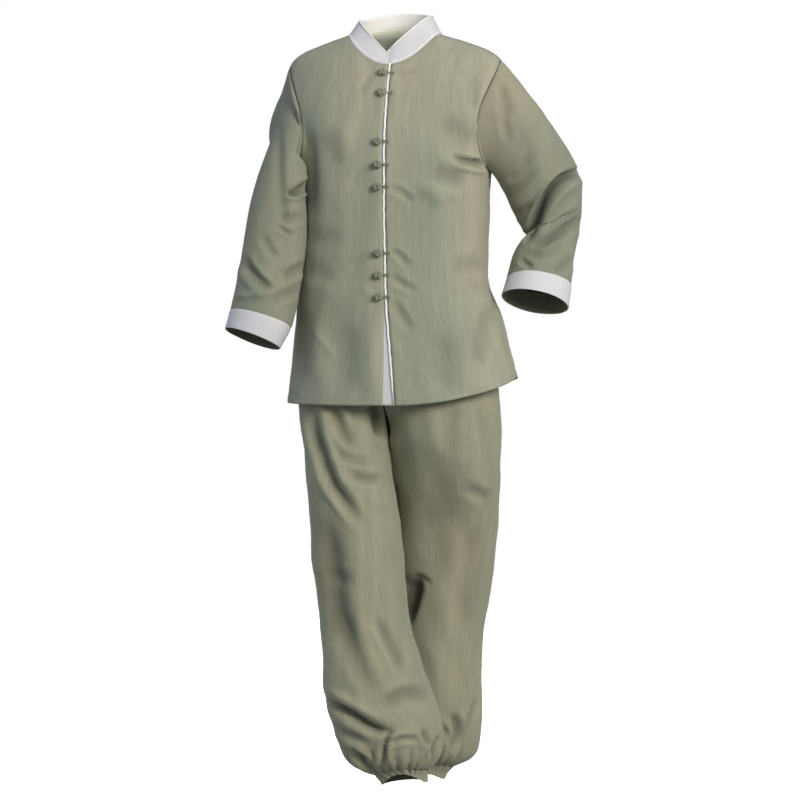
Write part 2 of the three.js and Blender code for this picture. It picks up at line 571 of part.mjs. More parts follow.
const pipingEnd = (z) => frontEdge(z).left - SEAM_GAP;
const pipingStart = (z) => pipingEnd(z) - PIPING;
addPiece('front_piping', edgeStrip(pipingStart, pipingEnd, PIPING_RISE, WALL + PIPING_RISE), TRIM);
addPiece('underflap', edgeStrip(
  (z) => frontEdge(z).right - UNDERFLAP_TUCK,
  (z) => frontEdge(z).left + UNDERFLAP_REACH,
  -(WALL + 2 * SEAM_GAP),
  TRIM_WALL,
), TRIM);

// Stand collar, from the wearer's right front edge round the back to the piping

// The top edge falls in straight lines from the neck's sides to the front opening.
function collarPoint(angle, share, bottom) {
  const onLeft = Math.sin(angle) > 0;
  const facing = Math.cos(angle);
  const depth = facing > 0 ? COLLAR_TOP.frontDepth : COLLAR_TOP.backDepth;
  const sideZ = onLeft ? COLLAR_TOP.leftZ : COLLAR_TOP.rightZ;
  const frontZ = onLeft ? COLLAR_TOP.leftFrontZ : COLLAR_TOP.rightFrontZ;
  const topZ = facing > 0
    ? lerp(frontZ, sideZ, Math.abs(Math.sin(angle)))
    : lerp(sideZ, COLLAR_TOP.backZ, facing ** 2);
  const top = new THREE.Vector3(COLLAR_TOP.halfWidth * Math.sin(angle), -depth * facing, topZ);
  return bottom.clone().lerp(top, share);
}

// Angles of the collar's columns, in step with the columns of the jacket's neckline.
function collarAngles() {
  const angleAt = (x) => Math.asin(x / bodyRing(NECK_SIDE_Z).half);
  const edge = frontEdge(NECK_FRONT_Z);
  const quarter = (from, to, count) => {
    const shares = Array.from({ length: count }, (_, c) => c / count);
    return shares.map((share) => lerp(from, to, share));
  };
  const side = Math.PI / 2;
  return [
    ...quarter(angleAt(edge.right), -side, FRONT_NECK_COLUMNS),
    ...quarter(-side, -Math.PI, BACK_NECK_COLUMNS),
    ...quarter(Math.PI, side, BACK_NECK_COLUMNS),
    ...quarter(side, angleAt(edge.left), FRONT_NECK_COLUMNS),
    angleAt(pipingStart(NECK_FRONT_Z)),
  ];
}

function collarGrid() {
  return [0, 0.5, 1].map((share) => collarAngles().map((angle) => {
    const place = necklinePlace(Math.abs(angle));
    const face = Math.abs(angle) > Math.PI / 2 ? 1 : -1;
    const bottom = bodyPoint(Math.sign(angle) * place.x, place.z + 2 * SEAM_GAP, face);
    return collarPoint(angle, share, bottom);
  }));
}

const collar = collarGrid();
const collarInner = innerGrid(collar, {
  outward: -1,
  thickness: TRIM_WALL,
  keep: (inner, outer, r) => {
    if (r === 0) inner.z = outer.z;
  },
});
addPiece('collar', wallGeometry(collar, collarInner), TRIM);

// Sleeves and cuffs

// The armhole seam as a loop from the armpit up the front to the shoulder tip and down the back. Each
// point has the jacket's direction off its edge.
function armholeLoop(side) {
  const front = side < 0 ? rightFront.outer : leftFront.outer;
  const backColumn = side < 0 ? 0 : 2 * BACK_HALF_COLUMNS;
  const edgeAt = (grid, r, column, inward) => {
    const row = grid[BODY_ROWS + r];
    const point = row[column].clone();
    return { point, off: point.clone().sub(row[column + inward]).normalize() };
  };
  const frontAt = (r) => edgeAt(front, r, FRONT_COLUMNS, -1);
  const backAt = (r) => edgeAt(back.outer, r, backColumn, side < 0 ? 1 : -1);
  const shared = (r) => {
    const [one, two] = [frontAt(r), backAt(r)];
    return { point: one.point.lerp(two.point, 0.5), off: one.off.add(two.off) };
  };
  const loop = [shared(0)];
  for (let r = 1; r < YOKE_ROWS; r += 1) loop.push(frontAt(r));
  loop.push(shared(YOKE_ROWS));
  for (let r = YOKE_ROWS - 1; r > 0; r -= 1) loop.push(backAt(r));
  return loop;
}

function sectionFrame(table, share) {
  const at = (s) => {
    const row = sample(table, 'at', s);
    return {
      inner: new THREE.Vector3(row.inX, row.inY, row.inZ),
      outer: new THREE.Vector3(row.outX, row.outY, row.outZ),
      depth: row.depth,
    };
  };
  const middle = ({ inner, outer }) => inner.clone().add(outer).multiplyScalar(0.5);
  const section = at(share);
  const before = middle(at(Math.max(share - SECTION_STEP, 0)));
  const along = middle(at(Math.min(share + SECTION_STEP, 1))).sub(before);
  const half = section.outer.clone().sub(section.inner).multiplyScalar(0.5);
  const across = along.clone().cross(half).normalize();
  if (across.y > 0) across.negate();
  const depth = FORWARD.clone().lerp(across, smoothstep(share, 0, CAP_SHARE)).setLength(section.depth);
  return { middle: middle(section), half, depth };
}

// Keeps a sleeve point outside the jacket's side, and above the armpit outside the armhole's edge.
function clearOfBody(point, side, clearance) {
  const ring = bodyRing(point.z);
  const depth = point.y < 0 ? ring.front : ring.back;
  if (Math.abs(point.y) >= depth) return;
  const hole = sample(ARMHOLE, 'z', point.z);
  const edge = point.y < 0 ? hole.frontX : hole.backX;
  const widest = point.z > ARMPIT_Z ? edge : ring.half;
  const skin = Math.min(ringDepth(point.y, depth, ring.half, ring.power), widest);
  const limit = lerp(skin, edge, smoothstep(point.z, ARMPIT_Z, ARMPIT_Z + ARMHOLE_BLEND)) + clearance;
  if (side * (point.x - ring.middle) < limit) point.x = ring.middle + side * limit;
}

function sleeveRing(table, share) {
  const columns = 2 * YOKE_ROWS;
  const frame = sectionFrame(table, share);
  return Array.from({ length: columns }, (_, c) => {
    const angle = Math.PI * (1 - c / YOKE_ROWS);
    return frame.middle.clone()
      .addScaledVector(frame.half, Math.cos(angle))
      .addScaledVector(frame.depth, Math.sin(angle));
  });
}

function makeSleeve(name, table, side, cuffShare) {
  const loop = armholeLoop(side);
  const grid = [];
  for (let r = 0; r <= SLEEVE_ROWS; r += 1) {
    const share = cuffShare * (r / SLEEVE_ROWS);
    const ring = sleeveRing(table, share);
    const fromLoop = 1 - smoothstep(share, 0, CAP_SHARE);
    const clearance = SLEEVE_CLEARANCE * smoothstep(share, 0, CAP_SHARE / 3);
    ring.forEach((point, c) => {
      point.lerp(loop[c].point, fromLoop);
      if (r > 0) clearOfBody(point, side, clearance);
    });
    grid.push(ring);
  }
  const options = {
    wrap: true,
    outward: -side,
    folds: SLEEVE_FOLDS,
    faceOf: (r, c) => (c > 0 && c < YOKE_ROWS ? -1 : 1),
    sewn: { top: true, bottom: true },
    keep: (inner, outer, r, c) => {
      if (r > 0) {
        clearOfBody(inner, side, SEAM_GAP);
        return;
      }
      const wall = inner.clone().sub(outer);
      wall.addScaledVector(loop[c].off, Math.max(0, -wall.dot(loop[c].off)));
      inner.copy(outer).add(wall.setLength(WALL));
    },
  };
  const outer = foldGrid(grid, options);
  outer[0].forEach((point, c) => {
    const away = outer[1][c].clone().sub(point).normalize();
    away.x = side * Math.max(side * away.x, SEAM_LEAN);
    away.addScaledVector(loop[c].off, Math.max(0, SEAM_LEAN - away.dot(loop[c].off)));
    point.add(away.setLength(SLEEVE_START));
  });
  addPiece(name, wallGeometry(outer, innerGrid(outer, options), true), CLOTH);
}

function makeCuff(name, table, side, cuffShare) {
  const outward = -side;
  const grid = [];
  for (let r = 0; r <= CUFF_ROWS; r += 1) {
    grid.push(sleeveRing(table, lerp(cuffShare, 1, r / CUFF_ROWS)));
  }
  const along = sectionFrame(table, 1).middle.sub(sectionFrame(table, cuffShare).middle).normalize();
  const raised = grid.map((row) => {
    const centre = row.reduce((sum, p) => sum.add(p), new THREE.Vector3()).divideScalar(row.length);
    return row.map((p) => p.clone().add(p.clone().sub(centre).setLength(CUFF_FLARE)));
  });
  raised[0].forEach((p) => p.addScaledVector(along, SEAM_GAP));
  const inner = innerGrid(raised, { wrap: true, outward, thickness: WALL + CUFF_FLARE });
  inner[0].forEach((p, c) => {
    const lag = p.clone().sub(raised[0][c]).dot(along);
    p.addScaledVector(along, -lag);
  });
  addPiece(name, wallGeometry(raised, inner, true), TRIM);
}

makeSleeve('sleeve_right', RIGHT_SLEEVE, -1, RIGHT_CUFF_SHARE);
makeSleeve('sleeve_left', LEFT_SLEEVE, 1, LEFT_CUFF_SHARE);
makeCuff('cuff_right', RIGHT_SLEEVE, -1, RIGHT_CUFF_SHARE);
makeCuff('cuff_left', LEFT_SLEEVE, 1, LEFT_CUFF_SHARE);

// Knot buttons and the loops that hold them

function knotGeometry() {
  const geometry = new THREE.SphereGeometry(1, 12, 6);
  geometry.deleteAttribute('uv');
  geometry.deleteAttribute('normal');
  const position = geometry.getAttribute('position');
  for (let i = 0; i < position.count; i += 1) {
    const [x, y, z] = [position.getX(i), position.getY(i), position.getZ(i)];
    const lobe = 1 + KNOT.lobeDepth * Math.cos(KNOT.lobes * Math.atan2(z, x)) * Math.hypot(x, z);
    position.setXYZ(i, x * lobe * KNOT.halfWidth, y * KNOT.halfDepth, z * lobe * KNOT.halfHeight);
  }
  geometry.computeVertexNormals();
  return geometry;
}

function loopGeometry() {
  const end = LOOP.height / 2;
  const straight = LOOP.length / 2 - end;
  const outline = new THREE.Shape();
  outline.absarc(straight, 0, end, -Math.PI / 2, Math.PI / 2, false);
  outline.absarc(-straight, 0, end, Math.PI / 2, (3 * Math.PI) / 2, false);
  const geometry = new THREE.ExtrudeGeometry(outline, {
    depth: LOOP.thickness, bevelEnabled: false, curveSegments: 4,
  });
  geometry.translate(0, 0, -LOOP.thickness / 2);
  geometry.rotateX(Math.PI / 2);
  return geometry;
}

// Turns a piece's outside, its -Y side, to face along the jacket's normal at a place on the front.
function seatOnFront(mesh, x, z, rise) {
  const step = 4;
  const here = bodyPoint(x, z, -1);
  const along = bodyPoint(x + step, z, -1).sub(bodyPoint(x - step, z, -1));
  const up = bodyPoint(x, z + step, -1).sub(bodyPoint(x, z - step, -1));
  const normal = along.clone().cross(up).normalize();
  const turn = new THREE.Matrix4().makeBasis(
    along.clone().normalize(),
    normal.clone().negate(),
    along.clone().normalize().cross(normal.clone().negate()),
  );
  mesh.quaternion.setFromRotationMatrix(turn);
  mesh.position.copy(here).addScaledVector(normal, rise);
}

BUTTONS.forEach(({ x, z }, i) => {
  const knot = addPiece(`button_${i + 1}`, knotGeometry(), CORD);
  seatOnFront(knot, x, z, KNOT.halfDepth + BUTTON_LIFT);
  const loop = addPiece(`loop_${i + 1}`, loopGeometry(), CORD);
  const loopX = x + KNOT.halfWidth * (1 + KNOT.lobeDepth) + SEAM_GAP + LOOP.length / 2;
  seatOnFront(loop, loopX, z, PIPING_RISE + BUTTON_LIFT + LOOP.thickness / 2);
});

// Trousers

// How far a point of an ankle ring is raised: the ring tilts sideways and arches over the instep.
const ankleLift = (ring, x, y) => ring.tilt * x + (y < 0 ? ring.arch * (y / ring.halfY) ** 2 : 0);

// A point of a trouser panel between its seams. u is 0 on the centre or inner seam and 1 on the
// outer seam; side and face say which of the four panels it is on.
function trouserPoint(u, z, side, face, legTable) {
  const hip = sample(HIP_RINGS, 'z', z);
  const leg = sample(legTable, 'z', z);
  const hipHalf = side < 0 ? hip.right : hip.left;
  const hipX = hipHalf * Math.sin((u * Math.PI) / 2);
  const hipDepth = face < 0 ? hip.front : hip.back;
  const hipY = face * ringDepth(hipX, hipHalf, hipDepth, hip.power);
  const onHip = new THREE.Vector3(hip.middle + side * hipX, hipY, z);
  const legX = -side * leg.halfX * Math.cos(u * Math.PI);
  const legY = face * leg.halfY * Math.sin(u * Math.PI);
  const onLeg = new THREE.Vector3(
    leg.x + legX,
    leg.y + legY + leg.skew * Math.cos(u * Math.PI),
    z + ankleLift(leg, legX, legY),
  );
  const toLeg = smoothstep(CROTCH_Z + CROTCH_BLEND - z, 0, CROTCH_BLEND);
  const point = onHip.lerp(onLeg, toLeg);
  point.x += side * HALF_GAP;
  point.y += face * HALF_GAP;
  return point;
}

function trouserPanel(name, side, face, legTable) {
  const bottom = legTable[legTable.length - 1].z;
  const heights = [];
  for (let r = 0; r < HIP_ROWS; r += 1) heights.push(lerp(WAIST_Z, CROTCH_Z, r / HIP_ROWS));
  for (let r = 0; r <= LEG_ROWS; r += 1) heights.push(lerp(CROTCH_Z, bottom, r / LEG_ROWS));
  const grid = heights.map((z) => Array.from({ length: LEG_COLUMNS + 1 }, (_, c) => (
    trouserPoint(c / LEG_COLUMNS, z, side, face, legTable)
  )));
  const options = {
    outward: side * face,
    folds: LEG_FOLDS,
    faceOf: () => face,
    sewn: { start: true, end: true, top: true, bottom: true },
    keep: (inner, outer, r, c) => {
      if (c > 0 && c < LEG_COLUMNS) return;
      inner.z = outer.z;
      if (c === 0 && r < HIP_ROWS) inner.x = outer.x;
      else inner.y = outer.y;
    },
  };
  const panel = cloth(grid, options);
  addPiece(name, wallGeometry(panel.outer, panel.inner), CLOTH);
}

// A gathered casing round an ankle: a thin tube whose wall waves in and out.
function ankleCasing(name, table) {
  const columns = GATHERS * COLUMNS_PER_GATHER;
  const top = table[0].z - 2 * SEAM_GAP;
  const bottom = table[table.length - 1].z;
  const casingGrid = (thickness) => Array.from({ length: CASING_ROWS + 1 }, (_, r) => {
    const z = lerp(top, bottom, r / CASING_ROWS);
    const ring = sample(table, 'z', z);
    return Array.from({ length: columns }, (__, c) => {
      const angle = (2 * Math.PI * c) / columns;
      const wave = GATHER_DEPTH * Math.cos(GATHERS * angle) - thickness;
      const lift = ankleLift(ring, ring.halfX * Math.cos(angle), ring.halfY * Math.sin(angle));
      return new THREE.Vector3(
        ring.x + (ring.halfX + wave) * Math.cos(angle),
        ring.y + (ring.halfY + wave) * Math.sin(angle),
        z + lift,
      );
    });
  });
  addPiece(name, wallGeometry(casingGrid(0), casingGrid(CASING_WALL), true), CLOTH);
}

function waistband() {
  const columns = 4 * LEG_COLUMNS;
  const grid = [WAIST_Z + WAISTBAND_HEIGHT, WAIST_Z + SEAM_GAP].map((z) => {
    const ring = sample(HIP_RINGS, 'z', WAIST_Z);
    return Array.from({ length: columns }, (_, c) => {
      const angle = (2 * Math.PI * c) / columns;
      const side = Math.sin(angle) < 0 ? -1 : 1;
      const half = side < 0 ? ring.right : ring.left;
      const x = half * Math.abs(Math.sin(angle));
      const face = Math.cos(angle) > 0 ? -1 : 1;
      const depth = face < 0 ? ring.front : ring.back;
      const y = face * ringDepth(x, half, depth, ring.power);
      return new THREE.Vector3(ring.middle + side * x, y, z);
    });
  });
  const inner = innerGrid(grid, { wrap: true, outward: -1, thickness: WALL });
  addPiece('trouser_waistband', wallGeometry(grid, inner, true), CLOTH);
}

trouserPanel('trouser_front_right', -1, -1, RIGHT_LEG);
trouserPanel('trouser_back_right', -1, 1, RIGHT_LEG);
trouserPanel('trouser_front_left', 1, -1, LEFT_LEG);
trouserPanel('trouser_back_left', 1, 1, LEFT_LEG);
ankleCasing('ankle_casing_right', RIGHT_CASING);
ankleCasing('ankle_casing_left', LEFT_CASING);
waistband();

export default uniform;
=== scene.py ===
"""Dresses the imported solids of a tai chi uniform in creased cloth, cord knots and stitching.

The tables and form functions repeat the solids' own, in the same frame and in millimetres. A piece
becomes metres when its mesh is made. Creases are troughs and ridges along paths in the picture plane
of the front view, or seen straight on from behind.
"""

import math
from collections import namedtuple

import bpy
import numpy as np
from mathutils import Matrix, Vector


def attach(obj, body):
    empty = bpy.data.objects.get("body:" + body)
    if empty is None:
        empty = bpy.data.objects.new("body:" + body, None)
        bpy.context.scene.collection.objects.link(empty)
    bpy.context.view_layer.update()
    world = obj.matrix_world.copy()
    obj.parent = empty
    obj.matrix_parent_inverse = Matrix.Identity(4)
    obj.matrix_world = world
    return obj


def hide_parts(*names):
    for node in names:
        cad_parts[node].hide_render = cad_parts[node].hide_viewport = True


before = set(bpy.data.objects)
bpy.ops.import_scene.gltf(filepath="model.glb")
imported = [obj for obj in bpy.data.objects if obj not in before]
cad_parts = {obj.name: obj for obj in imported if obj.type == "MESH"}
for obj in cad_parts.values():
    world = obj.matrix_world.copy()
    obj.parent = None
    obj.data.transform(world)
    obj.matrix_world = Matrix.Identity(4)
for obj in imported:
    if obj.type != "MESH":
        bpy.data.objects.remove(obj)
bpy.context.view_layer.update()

MM = 0.001
FRONT, BACK = -1, 1
RIGHT, LEFT = -1, 1
SIDE_NAMES = {RIGHT: "right", LEFT: "left"}
FACE_NAMES = {FRONT: "front", BACK: "back"}

# The camera stands to the wearer's left of straight ahead and a little above
VIEW_TURN = math.radians(12)
VIEW_RISE = math.radians(2.5)
VIEW_TARGET = (0.007, 0, -0.644)
VIEW_DISTANCE = 5
VIEW_LENS = 127.1
PICTURE_ACROSS = np.array([math.cos(VIEW_TURN), math.sin(VIEW_TURN), 0])
TO_CAMERA = np.array([math.sin(VIEW_TURN), -math.cos(VIEW_TURN), 0])
STRAIGHT_ACROSS = np.array([1.0, 0, 0])
STRAIGHT_BACK = np.array([0, 1.0, 0])

# Jacket
ARMPIT_Z = -243
SHOULDER_Z = -49
NECK_SIDE_Z = 1
NECK_FRONT_Z = -55
NECK_BACK_Z = 12
BODY_ROWS = 108
YOKE_ROWS = 50
PANEL_COLUMNS = 55
NECK_COLUMNS = 25
SEAM_GAP = 0.4
HALF_GAP = SEAM_GAP / 2
VENT_TOP_Z = -560
VENT_SPREAD = 4
PIPING = 4
UNDERFLAP_TUCK = 9
UNDERFLAP_DEPTH = 2.3
COLLAR_TOP = dict(
    half_width=64, front_depth=57, back_depth=54, back_z=41,
    right_z=26, left_z=32, right_front_z=-39, left_front_z=-30,
)

# Sleeves and trousers
SLEEVE_ROWS = 150
CUFF_ROWS = 14
CAP_SHARE = 0.2
ARMHOLE_BLEND = 40
SLEEVE_CLEARANCE = 2
CUFF_FLARE = 1.2
CUFF_SHARES = {RIGHT: 0.88, LEFT: 0.89}
SECTION_STEP = 0.03
WAIST_Z = -404
WAISTBAND_HEIGHT = 35
CROTCH_Z = -702
CROTCH_BLEND = 80
CROTCH_ROUNDS = 60
CROTCH_REACH = 16
HIP_ROWS = 56
LEG_ROWS = 144
LEG_COLUMNS = 56
CASING_ROWS = 14
CASING_COLUMNS = 320
GATHERS = 21
GATHER_HEIGHT = 72

CLOTH_WALL = 1.1
TRIM_WALL = 2


def table(columns, *rows):
    """Columns of numbers by name."""
    return dict(zip(columns.split(), np.array(rows, float).T))


BODY_RINGS = table(
    "z half middle front back power",
    (-665, 207, 14, 129, 123, 2.3),
    (-600, 202, 13, 126, 119, 2.3),
    (-545, 192, 9, 122, 112, 2.3),
    (-490, 182, 4, 118, 103, 2.3),
    (-440, 168, -3, 115, 95, 2.3),
    (-380, 164, -1, 113, 90, 2.3),
    (-320, 166, 1, 114, 94, 2.3),
    (-243, 170, 0, 112, 100, 2.3),
    (-180, 182, 0, 104, 99, 2.3),
    (-110, 194, 0, 88, 92, 2.3),
    (-49, 189, 0, 66, 78, 2.3),
    (-30, 168, 0, 58, 70, 2.3),
    (-12, 121, 0, 51, 62, 2.3),
    (1, 81, 0, 43, 54, 2.3),
    (14, 73, 0, 40, 57, 2.3),
)
FRONT_EDGES = table(
    "z right left",
    (-665, 5, 28),
    (-552, 4, 17),
    (-466, 3, 9),
    (-380, 1, 6.5),
    (-311, 0, 5),
    (-259, -1, 5),
    (-207, -4, 4),
    (-155, -2, 4),
    (-103, 0, 5),
    (-50, 1, 6.2),
)
HEM = table(
    "side front back",
    (-1, -649, -646),
    (0, -648, -640),
    (0.25, -642, -634),
    (0.5, -629, -622),
    (0.8, -612, -608),
    (1, -602, -602),
)
ARMHOLE = table(
    "share front back z",
    (0, 170, 170, -243),
    (0.16, 161, 166, -214),
    (0.34, 156, 165, -178),
    (0.54, 160, 168, -138),
    (0.74, 173, 178, -100),
    (0.9, 185, 187, -68),
    (1, 189, 189, -49),
)
SLEEVE_COLUMNS = "at in_x in_y in_z out_x out_y out_z depth"
SLEEVES = {
    LEFT: table(
        SLEEVE_COLUMNS,
        (0, 171, 0, -244, 192, 0, -49, 60),
        (0.05, 173, 0, -246, 212, 0, -72, 62),
        (0.11, 177, 1, -250, 235, 2, -103, 64),
        (0.18, 182, 3, -259, 257, 6, -133, 65),
        (0.26, 189, 8, -273, 278, 12, -164, 65),
        (0.35, 199, 15, -296, 299, 20, -197, 64),
        (0.44, 211, 22, -323, 317, 32, -232, 64),
        (0.52, 223, 27, -347, 325, 40, -266, 64),
        (0.6, 233, 27, -367, 324, 42, -304, 62),
        (0.68, 220, 20, -383, 319, 30, -344, 58),
        (0.76, 208, 8, -398, 316, 14, -379, 55),
        (0.84, 203, -4, -418, 314, 0, -419, 52),
        (0.89, 200, -10, -432, 313, -9, -440, 51),
        (1, 194, -22, -462, 311, -28, -477, 50),
    ),
    RIGHT: table(
        SLEEVE_COLUMNS,
        (0, -171, 0, -244, -192, -2, -47, 60),
        (0.06, -171, -6, -248, -199, -8, -72, 63),
        (0.13, -168, -16, -256, -208, -14, -108, 64),
        (0.21, -160, -30, -268, -215, -20, -148, 64),
        (0.3, -151, -46, -285, -223, -30, -195, 63),
        (0.4, -146, -58, -310, -237, -40, -248, 61),
        (0.5, -146, -66, -342, -250, -50, -304, 58),
        (0.6, -149, -75, -385, -258, -61, -358, 55),
        (0.7, -153, -86, -432, -264, -74, -410, 53),
        (0.8, -158, -97, -478, -269, -87, -455, 51),
        (0.88, -166, -106, -512, -275, -96, -487, 50),
        (1, -184, -116, -549, -281, -106, -520, 49),
    ),
}
HIP_RINGS = table(
    "z middle right left front back power",
    (-395, 0, 146, 146, 96, 72, 2.2),
    (-440, -3, 165.6, 165.6, 99, 78, 2.2),
    (-500, -4, 162, 168, 103, 87, 2.2),
    (-560, -6, 168, 184, 108, 97, 2.2),
    (-610, -7, 170, 188, 110, 104, 2.2),
    (-660, -8, 170, 194, 112, 108, 2.2),
    (-710, -8, 168, 194, 112, 110, 2.2),
)
LEG_COLUMN_NAMES = "z x y half_x half_y skew tilt arch"
LEGS = {
    RIGHT: table(
        LEG_COLUMN_NAMES,
        (-702, -87, -5, 79, 108, 0, 0, 0),
        (-742, -80.5, -33, 77.5, 99, -17, 0, 0),
        (-790, -73.5, -42, 78.5, 98, -12, 0, 0),
        (-857, -62, -55, 81, 88, -6, 0, 0),
        (-927, -54, -63, 81, 82, 0, 0, 0),
        (-997, -46, -67, 79, 78, 0, 0, 0),
        (-1044, -40, -70, 81, 76, 0, 0, 0),
        (-1093, -28, -75, 87, 74, 0, 0, 0),
        (-1140, -18, -79, 94, 74, 0, 0, 0),
        (-1188, -4, -83, 100, 76, 0, 0, 0),
        (-1223, 6, -85, 95, 74, 0, 0.02, 1),
        (-1252, 12, -85, 84, 66, 0, 0.05, 3),
        (-1276, 18, -85, 67, 54, 0, 0.09, 6),
        (-1290, 27, -85, 46, 41, 0, 0.13, 9),
    ),
    LEFT: table(
        LEG_COLUMN_NAMES,
        (-702, 90, -2, 98, 106, -3, 0, 0),
        (-742, 87, 14, 101, 105, 26, 0, 0),
        (-790, 85, 27, 99, 100, 19, 0, 0),
        (-857, 80, 46, 96, 86, 8, 0, 0),
        (-920, 76, 57, 91, 80, 0, 0, 0),
        (-1002, 70, 68, 84, 74, 0, 0, 0),
        (-1093, 62, 76, 78, 70, 0, 0, 0),
        (-1184, 60, 79, 80, 72, 0, 0, 0),
        (-1228, 59, 79, 81, 72, 0, 0, 1),
        (-1262, 55, 79, 79, 67, 0, 0, 3),
        (-1288, 53, 79, 68, 56, 0, 0, 6),
        (-1306, 46, 79, 44, 41, 0, 0, 9),
    ),
}
CASINGS = {
    RIGHT: table(
        LEG_COLUMN_NAMES,
        (-1290, 27, -85, 46, 41, 0, 0.13, 9),
        (-1301, 31, -85, 41, 37, 0, 0.12, 15),
        (-1311, 34, -85, 39, 36, 0, 0.09, 22),
    ),
    LEFT: table(
        LEG_COLUMN_NAMES,
        (-1306, 46, 79, 44, 41, 0, 0, 9),
        (-1318, 40, 79, 38, 37, 0, 0, 12),
        (-1330, 36, 79, 36, 36, 0, 0, 16),
    ),
}
# Height of each knot's middle and its place across
BUTTONS = [
    (-73, -6), (-108, -6), (-193, -9), (-233, -8),
    (-271, -8), (-385, -6), (-423, -6), (-461, -5),
]
KNOT = dict(half_width=8.5, half_height=7.3, half_depth=5, lobe=1.09)
LOOP = dict(length=11, height=5.5, thickness=2.6)
BUTTON_LIFT = 0.7

# A crease's path is seen in the picture plane, across and up. width is its half width, a negative
# depth makes a ridge, and lip is the share of the depth that its banks rise. steep is the share by
# which the bank to the right of the path's direction is narrower, as where cloth laps over.
Crease = namedtuple("Crease", "path width depth lip steep", defaults=(0, 0))

LEFT_FRONT_CREASES = [
    Crease([(162, -231), (128, -226), (94, -219)], 8, 9, 0.6, 0.45),
    Crease([(76, -152), (102, -173), (140, -195)], 20, 5),
    Crease([(59, -242), (90, -255), (121, -261)], 15, 6, 0.4),
    Crease([(34, -266), (64, -282), (83, -308)], 12, -5),
    Crease([(-14, -272), (10, -280), (31, -301)], 6, 2.6, 0.5),
    Crease([(-10, -380), (7, -390), (24, -411)], 6, 2.8, 0.6),
    Crease([(-10, -423), (10, -439), (38, -452)], 6, 2.8, 0.6),
    Crease([(-10, -463), (5, -487), (28, -521)], 8, 2.8, 0.5),
    Crease([(-2, -539), (3, -559), (10, -580)], 4, -1.6),
    Crease([(158, -400), (128, -414), (93, -411)], 16, 3.5, 0.4),
    Crease([(164, -448), (134, -442), (104, -452)], 14, 2.6, 0.4),
    Crease([(168, -467), (152, -518), (145, -590)], 16, 5, 0.4),
    Crease([(76, -518), (86, -569), (89, -635)], 22, 4, 0.3),
    Crease([(-10, -72), (12, -76), (38, -66)], 7, 2, 0.5),
    Crease([(130, -78), (136, -108), (132, -142)], 12, 2.6, 0.4),
]
RIGHT_FRONT_CREASES = [
    Crease([(-38, -75), (-54, -88), (-66, -112)], 7, 2, 0.5),
    Crease([(-38, -235), (-59, -245), (-80, -266)], 7, 2, 0.5),
    Crease([(-59, -442), (-42, -459)], 5, -1.8),
    Crease([(-36, -388), (-56, -394), (-80, -412)], 7, 2, 0.5),
    Crease([(-149, -510), (-126, -541), (-101, -572)], 5, -1.8),
    Crease([(-136, -170), (-115, -199), (-104, -244)], 18, 3, 0.3),
    Crease([(-162, -348), (-118, -362), (-87, -359)], 14, 1.6, 0.4),
    Crease([(-166, -408), (-132, -424), (-104, -421)], 14, 2.2, 0.4),
    Crease([(-162, -467), (-169, -537), (-172, -628)], 18, 5, 0.4),
    Crease([(-90, -501), (-87, -563), (-80, -636)], 24, 4, 0.3),
    Crease([(-34, -520), (-40, -580), (-38, -640)], 15, -2.2),
    Crease([(-158, -160), (-148, -235), (-154, -330)], 13, 6),
]
BACK_CREASES = [
    Crease([(118, -222), (142, -232), (164, -246)], 9, 5, 0.5),
    Crease([(-118, -222), (-142, -232), (-164, -246)], 9, 5, 0.5),
    Crease([(96, -120), (122, -160), (140, -205)], 14, 3.4, 0.4),
    Crease([(-92, -112), (-118, -158), (-140, -200)], 14, 3.4, 0.4),
    Crease([(-70, -372), (-10, -362), (68, -370)], 14, 5, 0.5),
    Crease([(-96, -398), (-40, -404), (30, -396)], 12, 3.6, 0.5),
    Crease([(150, -384), (112, -396), (78, -392)], 12, 3, 0.4),
    Crease([(60, -420), (74, -520), (86, -634)], 24, 7, 0.3),
    Crease([(-50, -430), (-66, -530), (-82, -634)], 24, 7, 0.3),
    Crease([(4, -470), (8, -560), (2, -636)], 18, -3),
    Crease([(-150, -470), (-160, -560), (-168, -630)], 16, 4, 0.3),
    Crease([(146, -470), (158, -550), (164, -596)], 16, 4, 0.3),
    Crease([(-30, -60), (-6, -96), (-2, -150)], 16, 2, 0.3),
]
RIGHT_SLEEVE_CREASES = [
    Crease([(-192, -277), (-178, -284), (-162, -272), (-140, -260)], 8, 12, 0.4, 0.4),
    Crease([(-206, -150), (-204, -240), (-194, -315), (-183, -352)], 9, 6),
    Crease([(-208, -336), (-193, -347), (-178, -356)], 4.5, 4, 0.5),
    Crease([(-212, -452), (-244, -424), (-266, -390)], 11, 7, 0.4, 0.5),
    Crease([(-284, -460), (-245, -460), (-210, -449)], 6, -4),
    Crease([(-154, -405), (-175, -415), (-199, -428)], 8, 5, 0.5),
    Crease([(-165, -450), (-195, -457), (-226, -475)], 8, 4, 0.4),
    Crease([(-158, -318), (-178, -326), (-206, -322)], 8, 3.4, 0.5),
    Crease([(-232, -352), (-222, -376), (-206, -396)], 7, 3, 0.5),
]
